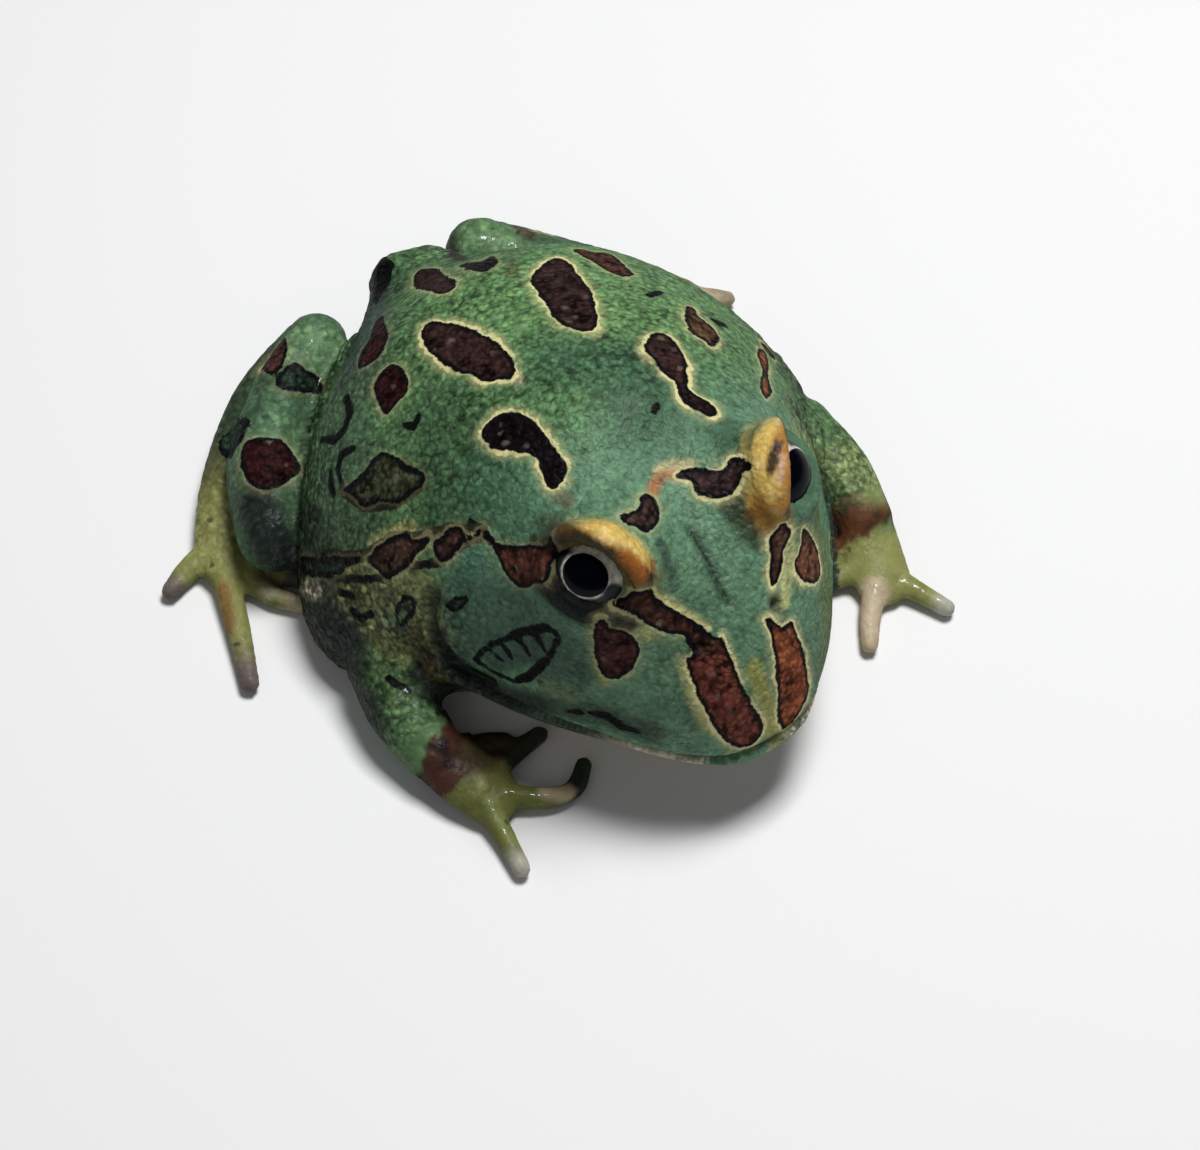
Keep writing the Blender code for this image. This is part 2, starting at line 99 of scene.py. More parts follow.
# Head; lip and corner of the mouth as (y, z)
NECK_Y = -7.0
LIP = (-44.2, 15.0)
MOUTH_CORNER = (-9.9, 17.8)
LOWER_LIP_OUT = 0.9
UNDER_LIP_IN = 0.6
LIP_ROLL = (0.5, 2.2)  # height and half width
MOUTH_GROOVE = (0.9, 0.42)  # depth and half width
NOSTRIL = (6.1, -36.0, 33.0)
NOSTRIL_RADIUS = 1.0
NOSTRIL_SHAPE = (0.35, 1.3)  # height of the rim and depth of the pit
HEAD_TOP = 25  # the groove between the brows is pressed in above this z
BROW_GROOVE = (1.6, 6.0, -36, -4)  # depth, half width, y of its front and rear ends
EYE_RADIUS = 5.8
EYE_CENTRE = (14.1, -22.0, 40.3)
EYE_OUT = (0.576, -0.510, 0.640)
EYE_FRONT = (-0.490, -0.850, -0.240)
SOCKET_SWELL = (8.0, 8.8)  # height and reach
LID_OPENING = (5.4, 4.3, 2.8)  # half length, height of the upper and depth of the lower edge
LID_THICKNESS = 0.55
LID_DROOP = 15  # degrees
LID_REACH = 4
LID_SINK = 0.5
BROW_REACH = 14

# Lids on the eye's own axes: (to the front, up, out, half breadth, half thickness)
UPPER_LID = [
    (7.4, 1.0, 1.6, 1.4, 0.9),
    (6.6, 3.0, 2.8, 2.1, 1.2),
    (5.0, 4.7, 3.9, 2.6, 1.4),
    (2.5, 6.0, 4.8, 2.9, 1.5),
    (-0.5, 6.4, 5.0, 2.9, 1.5),
    (-3.6, 5.3, 4.5, 2.4, 1.3),
    (-5.8, 3.2, 3.4, 1.8, 1.1),
    (-6.8, 0.9, 2.0, 1.2, 0.9),
]
LOWER_LID = [
    (7.0, -0.4, 1.4, 1.0, 1.0),
    (4.6, -3.6, 3.4, 1.1, 1.0),
    (0.4, -5.0, 4.0, 1.1, 1.0),
    (-4.0, -3.8, 3.4, 1.1, 1.0),
    (-6.6, -0.2, 1.8, 1.0, 1.0),
]

# Limbs, as in the solids: (x outwards, y, z, half width, half height)
FORE = {
    "right": {
        "upper_arm": [(24, -8, 15, 6.0, 6.0), (30, -4.6, 11, 6.4, 6.4), (35.8, -0.8, 8, 5.8, 6.0)],
        "forearm": [(36.0, -1.3, 7.8, 5.6, 5.8), (37.2, -8.0, 6.8, 5.3, 5.2), (37.0, -15.6, 5.2, 4.3, 3.8)],
        "hand": [(37.0, -15.0, 5.0, 4.2, 3.6), (35.0, -20.2, 3.8, 4.8, 2.7), (33.4, -24.4, 2.6, 4.5, 2.2)],
        "digits": [
            [(33.4, -16.2, 3.4, 2.3), (30.4, -16.8, 2.9, 2.2), (27.2, -18.0, 2.2, 1.8)],
            [(32.0, -21.8, 2.8, 2.0), (26.8, -20.3, 2.3, 1.6), (21.8, -19.4, 1.8, 1.3)],
            [
                (32.0, -25.2, 2.5, 1.9),
                (26.4, -29.2, 2.1, 1.5),
                (22.4, -29.6, 1.8, 1.4),
                (19.2, -27.0, 1.6, 1.2),
            ],
            [(34.6, -26.4, 2.4, 1.9), (35.0, -31.4, 2.0, 1.5), (35.6, -36.6, 1.7, 1.3)],
        ],
    },
    "left": {
        "upper_arm": [(24, -8, 15, 6.0, 6.0), (30.4, -4.2, 12.2, 6.2, 6.2), (36.5, 0.2, 9.6, 5.6, 5.8)],
        "forearm": [(36.8, -0.4, 9.4, 5.4, 5.6), (38.0, -7.8, 7.6, 5.2, 5.2), (37.8, -15.4, 5.6, 4.2, 3.8)],
        "hand": [(37.8, -15.0, 5.4, 4.1, 3.6), (36.2, -19.8, 3.8, 4.4, 2.6), (35.0, -24.2, 2.6, 4.3, 2.2)],
        "digits": [
            [(33.6, -17.0, 3.0, 2.0), (30.6, -16.4, 2.6, 1.8), (27.6, -16.4, 2.0, 1.4)],
            [(32.8, -21.0, 2.7, 1.8), (28.0, -20.2, 2.2, 1.5), (23.2, -19.6, 1.8, 1.2)],
            [(33.0, -25.2, 2.4, 1.9), (29.6, -28.8, 2.0, 1.6), (27.0, -32.4, 1.8, 1.3)],
            [(36.6, -25.2, 2.4, 1.9), (38.6, -29.4, 2.0, 1.5), (40.3, -33.2, 1.7, 1.3)],
        ],
    },
}
HIND = {
    "right": {
        "thigh": [(11, 44, 12, 5.6, 6.5), (22, 37, 9, 6.0, 7.0), (35.0, 28.4, 8.4, 5.0, 5.6)],
        "shank": [
            (38.4, 27.2, 9.4, 5.6, 6.2),
            (33.8, 37.4, 9.8, 6.0, 6.4),
            (25.8, 46.4, 10.8, 5.2, 5.6),
            (16.4, 52.6, 12.2, 4.7, 4.6),
        ],
        "foot": [
            (17.4, 54.2, 9.8, 4.4, 4.4),
            (27.4, 51.6, 6.8, 4.1, 3.8),
            (37.2, 43.2, 4.6, 4.2, 3.3),
            (43.4, 34.8, 2.8, 4.3, 2.5),
            (45.0, 30.6, 2.4, 4.0, 2.2),
        ],
        "digits": [
            [(41.4, 32.4, 2.0, 1.9), (38.6, 29.4, 1.7, 1.6), (36.8, 27.0, 1.5, 1.3)],
            [(42.0, 30.0, 2.0, 2.0), (39.4, 26.0, 1.7, 1.8), (37.2, 23.0, 1.5, 1.4)],
            [(44.0, 28.4, 2.2, 1.9), (42.2, 22.8, 1.8, 1.6), (39.2, 18.8, 1.6, 1.3)],
            [(46.2, 29.6, 2.4, 2.1), (49.2, 20.0, 2.0, 1.8), (52.4, 10.8, 1.7, 1.4)],
            [(46.6, 33.8, 2.4, 2.1), (50.4, 33.0, 2.0, 1.8), (54.2, 31.4, 1.7, 1.4)],
        ],
    },
    "left": {
        "thigh": [(11, 44, 12, 5.6, 6.5), (21, 36, 9, 6.0, 7.0), (32.6, 26.4, 8.4, 5.0, 5.6)],
        "shank": [
            (34.4, 25.4, 8.8, 5.4, 5.8),
            (30.4, 35.6, 9.0, 5.6, 5.8),
            (23.4, 45.2, 10.8, 5.0, 5.4),
            (13.6, 54.0, 13.4, 5.2, 5.2),
        ],
        "foot": [
            (15.8, 55.4, 9.4, 4.4, 4.4),
            (25.8, 51.6, 6.0, 3.8, 3.4),
            (34.4, 43.6, 3.8, 3.7, 2.8),
            (38.8, 37.0, 2.6, 4.2, 2.4),
            (40.2, 34.0, 2.4, 4.0, 2.2),
        ],
        "digits": [
            [(36.8, 35.2, 2.0, 1.9), (34.0, 32.6, 1.7, 1.6), (32.0, 30.6, 1.5, 1.3)],
            [(37.4, 33.0, 2.0, 1.9), (35.4, 29.2, 1.7, 1.6), (34.4, 26.4, 1.5, 1.3)],
            [(39.0, 31.4, 2.2, 1.9), (38.2, 27.0, 1.8, 1.6), (37.4, 23.4, 1.6, 1.3)],
            [(41.0, 31.8, 2.4, 2.1), (41.4, 24.8, 2.0, 1.7), (41.2, 16.6, 1.7, 1.4)],
            [(42.0, 35.0, 2.4, 2.0), (44.0, 34.4, 2.0, 1.7), (46.2, 33.2, 1.7, 1.3)],
        ],
    },
}

# Skin mesh
VOXEL = 0.59
TRUNK_AROUND = 200
TRUNK_RINGS = 160
LIMB_AROUND = 32
LIMB_RINGS = 48
SAMPLES = 60
SMOOTHING = [0.5, -0.52] * 6
HOLLOW_FILL = 0.9
HOLLOW_ROUNDS = 24
GRAIN_SEED = 7  # without it noise_vector changes from run to run
GRAIN_BEND = (2.3, 0.7)  # size and reach of the bends in the grain
FINE_GRAIN = 1.4
LARGE_GRAIN = 2.2

# Distances from the marks, in mm: FAR where a mark is out of reach
TINY = 1e-9
FAR = 9.0
MARK_MARGIN = 3
MARK_DEPTH = 4
RIM_DEPTH = 2.0
BAND_REACH = 9

# Colours, linear
TEAL = (0.110, 0.225, 0.130)
BACK_GREEN = (0.105, 0.215, 0.085)
REAR_GREEN = (0.080, 0.170, 0.068)
# Darker green low on the sides: partly the skin's own colour, partly painted shade
SIDE_GREEN_AND_SHADE = (0.048, 0.088, 0.042)
# Painted shadow of the left brow on the head
BROW_SHADOW_GREEN = (0.035, 0.075, 0.042)
LIMB_GREEN = (0.095, 0.180, 0.075)
SHANK_GREEN = (0.070, 0.136, 0.070)
SHADE = (0.014, 0.020, 0.018)
OLIVE = (0.235, 0.240, 0.080)
# Olive of the right hand: partly its own darker colour, partly painted shade
SHADED_DARK_OLIVE = (0.120, 0.130, 0.034)
OLIVE_BROWN = (0.110, 0.090, 0.035)
BAND_OLIVE = (0.250, 0.265, 0.075)
CREAM = (0.60, 0.55, 0.40)
PINKISH = (0.56, 0.42, 0.34)
BARK = (0.10, 0.055, 0.026)
BLACK = (0.008, 0.008, 0.010)
UMBER = (0.034, 0.017, 0.015)
RED_BROWN = (0.085, 0.032, 0.024)
RUST = (0.250, 0.090, 0.030)
DARK_RED = (0.030, 0.008, 0.008)
DARK_GREEN = (0.022, 0.042, 0.026)
GREY_TIP = (0.38, 0.37, 0.30)
SLATE_TIP = (0.14, 0.115, 0.10)
BLACK_TIP = (0.012, 0.012, 0.018)
CREAM_TIP = (0.44, 0.36, 0.24)
HALO = (0.62, 0.57, 0.28)
BROW_YELLOW = (0.64, 0.44, 0.12)
BROW_PALE = (0.76, 0.62, 0.31)
BROW_ORANGE = (0.26, 0.085, 0.014)
BROW_BROWN = (0.12, 0.055, 0.020)
BROW_UNDER = (0.040, 0.027, 0.012)
LID_SKIN = (0.075, 0.060, 0.022)
EYE_SHADE = (0.005, 0.005, 0.006)
# Painted shade in the right eye's rear corner
EYE_CORNER_SHADE = (0.016, 0.013, 0.010)
# Darker jaw below the mouth line: partly its own colour, partly painted shade
JAW_DARK_AND_SHADE = (0.030, 0.040, 0.028)
# Painted shade in the mouth's groove
MOUTH_GROOVE_SHADE = (0.007, 0.009, 0.007)
BAND_DARK = (0.012, 0.008, 0.008)
HIDDEN_BROWN = (0.050, 0.030, 0.022)
LINE_BLACK = (0.004, 0.005, 0.005)
RIM_BLACK = (0.004, 0.004, 0.005)
# Painted shade in the creases
CREASE_SHADE = (0.010, 0.016, 0.012)
FLECK = (0.014, 0.030, 0.022)
# Pale dots: partly pale granules, partly painted wet glints
PALE_DOT_AND_GLINT = (2.6, 2.4, 2.2)  # times the colour under the dot
PEARL = (0.20, 0.16, 0.13)

# Markings: (outline as (x, y) in the photograph, strength of the pale edge, colour inside)
SPOTS = {
    "back_right": ([(422, 331), (428, 324), (437, 322), (453, 324), (469, 329), (486, 336), (500, 346),
        (509, 356), (514, 365), (515, 371), (510, 378), (499, 380), (483, 380), (472, 375), (460, 373),
        (452, 368), (442, 363), (431, 353), (425, 342)], 1.0, UMBER),
    "back_left": ([(531, 281), (534, 273), (543, 265), (551, 260), (561, 259), (569, 263), (576, 272),
        (585, 284), (593, 296), (594, 304), (598, 318), (595, 328), (588, 332), (578, 330), (564, 325),
        (554, 318), (548, 307), (540, 296)], 1.0, UMBER),
    "hook_right": ([(482, 436), (484, 427), (493, 418), (508, 413), (525, 415), (534, 421), (542, 431),
        (549, 441), (559, 454), (566, 467), (564, 478), (558, 488), (550, 488), (544, 481), (541, 470),
        (536, 458), (526, 452), (505, 450), (489, 445)], 1.0, (0.006, 0.004, 0.005)),
    "comma_left": ([(645, 349), (645, 343), (651, 336), (662, 333), (671, 339), (679, 349), (686, 360),
        (687, 376), (687, 386), (691, 393), (703, 399), (715, 408), (716, 415), (708, 416), (698, 411),
        (687, 403), (680, 396), (678, 388), (673, 381), (661, 370), (652, 358)], 1.0, UMBER),
    "rear_small": ([(414, 280), (416, 273), (425, 269), (437, 269), (446, 276), (455, 282), (454, 289),
        (442, 294), (430, 291), (417, 289)], 0.35, UMBER),
    # partly a dark green mark, partly painted shadow under the left heel knob
    "rear_middle": ([(454, 258), (462, 261), (474, 263), (486, 262), (490, 257), (497, 259), (493, 266),
        (481, 271), (468, 270), (458, 264)], 0.2, DARK_GREEN),
    "rear_left": ([(573, 250), (580, 249), (592, 252), (610, 254), (620, 262), (627, 268), (633, 274),
        (628, 277), (615, 274), (601, 267), (590, 260), (578, 254)], 0.35, RED_BROWN),
    "vent": ([(376, 266), (380, 256), (388, 259), (395, 265), (391, 272), (392, 278), (387, 289),
        (380, 296), (376, 306), (374, 290)], 0.0, BLACK),
    "side_rear": ([(383, 316), (388, 330), (385, 346), (379, 357), (366, 366), (358, 368), (362, 352),
        (370, 338), (376, 322)], 0.15, DARK_RED),
    "side_right": ([(376, 382), (382, 372), (393, 364), (402, 370), (408, 381), (407, 393), (398, 402),
        (392, 409), (386, 415), (380, 404), (375, 393)], 0.3, DARK_RED),
    "side_left": ([(687, 308), (694, 308), (697, 316), (705, 321), (717, 333), (718, 341), (711, 346),
        (705, 341), (694, 335), (687, 326)], 0.6, BARK),
    "side_left_low": ([(757, 352), (764, 350), (768, 362), (768, 376), (771, 392), (765, 398),
        (760, 384), (762, 370)], 0.4, RUST),
    "flank_outlined": ([(363, 474), (370, 463), (376, 456), (385, 452), (395, 456), (406, 465),
        (418, 468), (425, 477), (421, 486), (410, 495), (397, 503), (376, 503), (365, 507), (357, 500),
        (352, 493), (342, 490), (350, 484)], 0.1, (0.050, 0.062, 0.030)),
    "row_left_end": ([(302, 557), (324, 558), (346, 557), (361, 560), (350, 567), (339, 576), (318, 577),
        (303, 572)], 0.1, DARK_GREEN),
    "row_middle": ([(367, 562), (371, 554), (380, 544), (391, 538), (408, 533), (413, 539), (427, 537),
        (429, 542), (416, 555), (404, 569), (393, 577), (384, 577),
        (376, 569)], 0.3, (0.060, 0.032, 0.024)),
    "row_inner": ([(434, 549), (434, 543), (442, 537), (451, 528), (461, 527), (466, 535), (476, 532),
        (484, 529), (474, 538), (462, 544), (453, 557), (444, 561),
        (438, 559)], 0.25, (0.065, 0.030, 0.024)),
    "behind_eye": ([(486, 530), (494, 538), (500, 545), (517, 547), (530, 545), (543, 547), (551, 536),
        (557, 550), (551, 563), (550, 572), (544, 583), (534, 583), (526, 588), (515, 583), (504, 571),
        (499, 560), (494, 548), (484, 535)], 0.15, (0.085, 0.030, 0.022)),
    "cheek_right": ([(595, 626), (600, 620), (606, 622), (610, 629), (621, 630), (632, 637), (640, 647),
        (640, 653), (635, 663), (625, 674), (616, 679), (604, 676), (598, 665), (595, 654),
        (594, 640)], 0.3, (0.066, 0.023, 0.020)),
    "nose_bar_right": ([(612, 603), (622, 598), (634, 592), (650, 589), (655, 599), (668, 607),
        (684, 616), (697, 625), (709, 634), (712, 641), (706, 647), (697, 643), (690, 637), (677, 635),
        (664, 632), (653, 627), (639, 618), (626, 610)], 0.45, (0.050, 0.022, 0.015)),
    "snout_right": ([(687, 660), (698, 655), (711, 647), (717, 639), (723, 641), (728, 653), (734, 668),
        (742, 686), (751, 704), (759, 717), (762, 729), (757, 740), (748, 746), (736, 747), (726, 741),
        (715, 727), (705, 710), (697, 694), (692, 678)], 0.85, (0.150, 0.044, 0.029)),
    "nose_join": ([(684, 622), (698, 628), (710, 634), (720, 641), (728, 655), (716, 662), (700, 658),
        (692, 648), (686, 636)], 0.0, (0.075, 0.036, 0.026)),
    "snout_left": ([(766, 619), (771, 637), (775, 657), (777, 680), (778, 702), (778, 720), (783, 729),
        (791, 723), (800, 711), (807, 698), (808, 684), (806, 666), (802, 649), (796, 633), (791, 621),
        (784, 628), (775, 624)], 0.9, (0.240, 0.070, 0.030)),
    "nose_bar_left": ([(783, 523), (789, 529), (790, 536), (787, 544), (783, 553), (781, 567),
        (778, 581), (772, 587), (770, 578), (771, 562), (770, 548), (770, 538),
        (776, 530)], 0.9, (0.110, 0.052, 0.034)),
    "cheek_left": ([(803, 529), (809, 533), (816, 546), (819, 562), (820, 576), (814, 583), (804, 581),
        (797, 572), (794, 562), (798, 554), (801, 543)], 0.9, (0.160, 0.066, 0.036)),
    "between_eyes": ([(620, 518), (630, 512), (638, 508), (641, 499), (646, 494), (653, 498), (658, 509),
        (659, 518), (655, 526), (649, 533), (643, 531), (636, 526),
        (628, 525)], 0.3, (0.050, 0.030, 0.024)),
    "eye_bar_left": ([(677, 476), (684, 471), (694, 468), (712, 470), (723, 469), (730, 461), (738, 459),
        (747, 463), (753, 467), (742, 471), (740, 480), (735, 490), (729, 495), (719, 498), (703, 495),
        (696, 491), (691, 481)], 0.8, (0.040, 0.022, 0.022)),
    "heel_right": ([(261, 366), (264, 352), (272, 341), (284, 338), (287, 352), (282, 367),
        (271, 375)], 0.1, (0.060, 0.026, 0.020)),
    "heel_under": ([(274, 380), (284, 369), (296, 364), (306, 370), (318, 376), (321, 389), (310, 393),
        (294, 391), (280, 388)], 0.1, DARK_GREEN),
    "shank_right": ([(243, 446), (257, 438), (280, 440), (290, 451), (300, 468), (289, 479), (277, 487),
        (260, 489), (248, 482), (242, 466)], 0.2, DARK_RED),
    "foot_mark": ([(220, 428), (231, 421), (250, 420), (246, 432), (240, 443), (234, 456), (224, 456),
        (218, 445)], 0.0, DARK_GREEN),
    "shoulder_ring": ([(395, 616), (397, 604), (408, 597), (417, 599), (413, 614), (404, 627),
        (397, 622)], 0.0, (0.090, 0.140, 0.080)),
    "shoulder_lens": ([(445, 607), (454, 598), (468, 596), (466, 604), (457, 611)], 0.0, DARK_GREEN),
}

# Marks at the very edge of the body as the camera sees it, and those with a broad black outline
RIM_MARKS = ("vent", "rear_middle", "heel_right", "heel_under", "foot_mark", "nose_join")
THICK_RIMS = {
    "flank_outlined": 1.6,
    "row_left_end": 1.6,
    "row_middle": 1.3,
    "row_inner": 1.3,
    "shoulder_ring": 1.5,
    "rear_middle": 1.5,
    "heel_under": 1.5,
    "foot_mark": 1.5,
    "side_left": 1.3,
}

# Narrow dark marks: (x, y) in the photograph and half width in mm
LINE_SPREAD = 0.15
LINES = {
    "flank_arc_1": [(346, 398, 0.5), (350, 412, 0.7), (346, 428, 0.6), (336, 440, 0.6), (322, 440, 0.4)],
    "flank_arc_2": [(354, 449, 0.4), (341, 455, 0.6), (339, 468, 0.4)],
    "flank_arc_3": [(331, 472, 0.4), (331, 486, 0.7), (334, 494, 0.5)],
    "small_back": [(405, 426, 0.4), (414, 427, 0.6), (419, 416, 0.4)],
    "small_left_1": [(649, 296, 0.5), (660, 292, 0.4)],
    "small_left_2": [(714, 321, 0.5), (724, 325, 0.6)],
    "small_left_3": [(654, 410, 0.5), (658, 405, 0.5)],
    "lip_1": [(590, 713, 0.3), (606, 716, 0.7), (622, 727, 0.6), (640, 732, 0.3)],
    "lip_2": [(566, 711, 0.3), (580, 712, 0.5)],
    "leaf_top": [(474, 658, 0.2), (490, 646, 0.3), (512, 636, 0.4), (532, 629, 0.5), (548, 627, 0.55),
        (557, 634, 0.4)],
    "leaf_low": [(558, 640, 0.35), (550, 655, 0.45), (540, 667, 0.6), (526, 678, 0.6), (514, 682, 0.35)],
    "leaf_under": [(476, 660, 0.3), (494, 672, 0.2), (514, 681, 0.4)],
    "leaf_vein_1": [(500, 642, 0.4), (508, 652, 0.3), (512, 660, 0.1)],
    "leaf_vein_2": [(516, 636, 0.5), (524, 646, 0.35), (530, 656, 0.1)],
    "leaf_vein_3": [(534, 632, 0.5), (540, 642, 0.4), (546, 652, 0.3)],
    "leaf_stroke": [(492, 652, 0.1), (502, 660, 0.3)],
    "row_top": [(300, 563, 0.4), (330, 553, 0.5), (362, 557, 0.7), (392, 537, 0.6), (428, 535, 0.5),
        (452, 527, 0.6), (484, 529, 0.4)],
    "row_low": [(302, 573, 0.5), (340, 579, 0.45), (384, 578, 0.6), (406, 567, 0.4), (440, 562, 0.6),
        (468, 541, 0.5), (486, 534, 0.4)],
    "row_drop": [(322, 560, 0.4), (330, 570, 0.5), (345, 568, 0.4)],
    "flank_under": [(338, 470, 0.4), (344, 492, 0.6), (364, 506, 0.7), (392, 506, 0.6), (420, 488, 0.5)],
    "ring_1": [(404, 598, 0.5), (412, 600, 0.6), (412, 612, 0.5), (404, 620, 0.6), (398, 612, 0.4)],
    "shoulder_1": [(352, 610, 0.5), (362, 618, 0.6), (372, 614, 0.4)],
    "shoulder_2": [(340, 592, 0.4), (352, 596, 0.5)],
    "arm_line_1": [(388, 678, 0.4), (396, 684, 0.5), (408, 690, 0.4)],
    "behind_brow": [(470, 520, 0.3), (482, 530, 0.5), (496, 546, 0.5)],
}

# Spots where the photograph doesn't reach: (point near the skin, half length, half breadth, turn)
HIDDEN_HALO = 0.6
HIDDEN_CORNERS = 10
HIDDEN_SPOTS = [
    ((41.0, 18.0, 22.0), 5.0, 3.2, 20),
    ((42.0, 5.0, 30.0), 2.4, 1.6, 60),
    ((40.0, 29.0, 14.0), 2.8, 1.9, -30),
    ((24.0, 42.0, 26.0), 2.8, 1.9, 40),
    ((38.0, 38.0, 14.0), 3.2, 2.0, 10),
    ((25.0, 54.0, 15.0), 2.8, 1.7, 20),
    ((-26.0, 54.0, 14.0), 2.6, 1.7, 20),
    ((30.0, -30.0, 22.0), 2.2, 1.5, 30),
    ((46.0, 2.0, 10.0), 2.4, 1.7, 0),
]
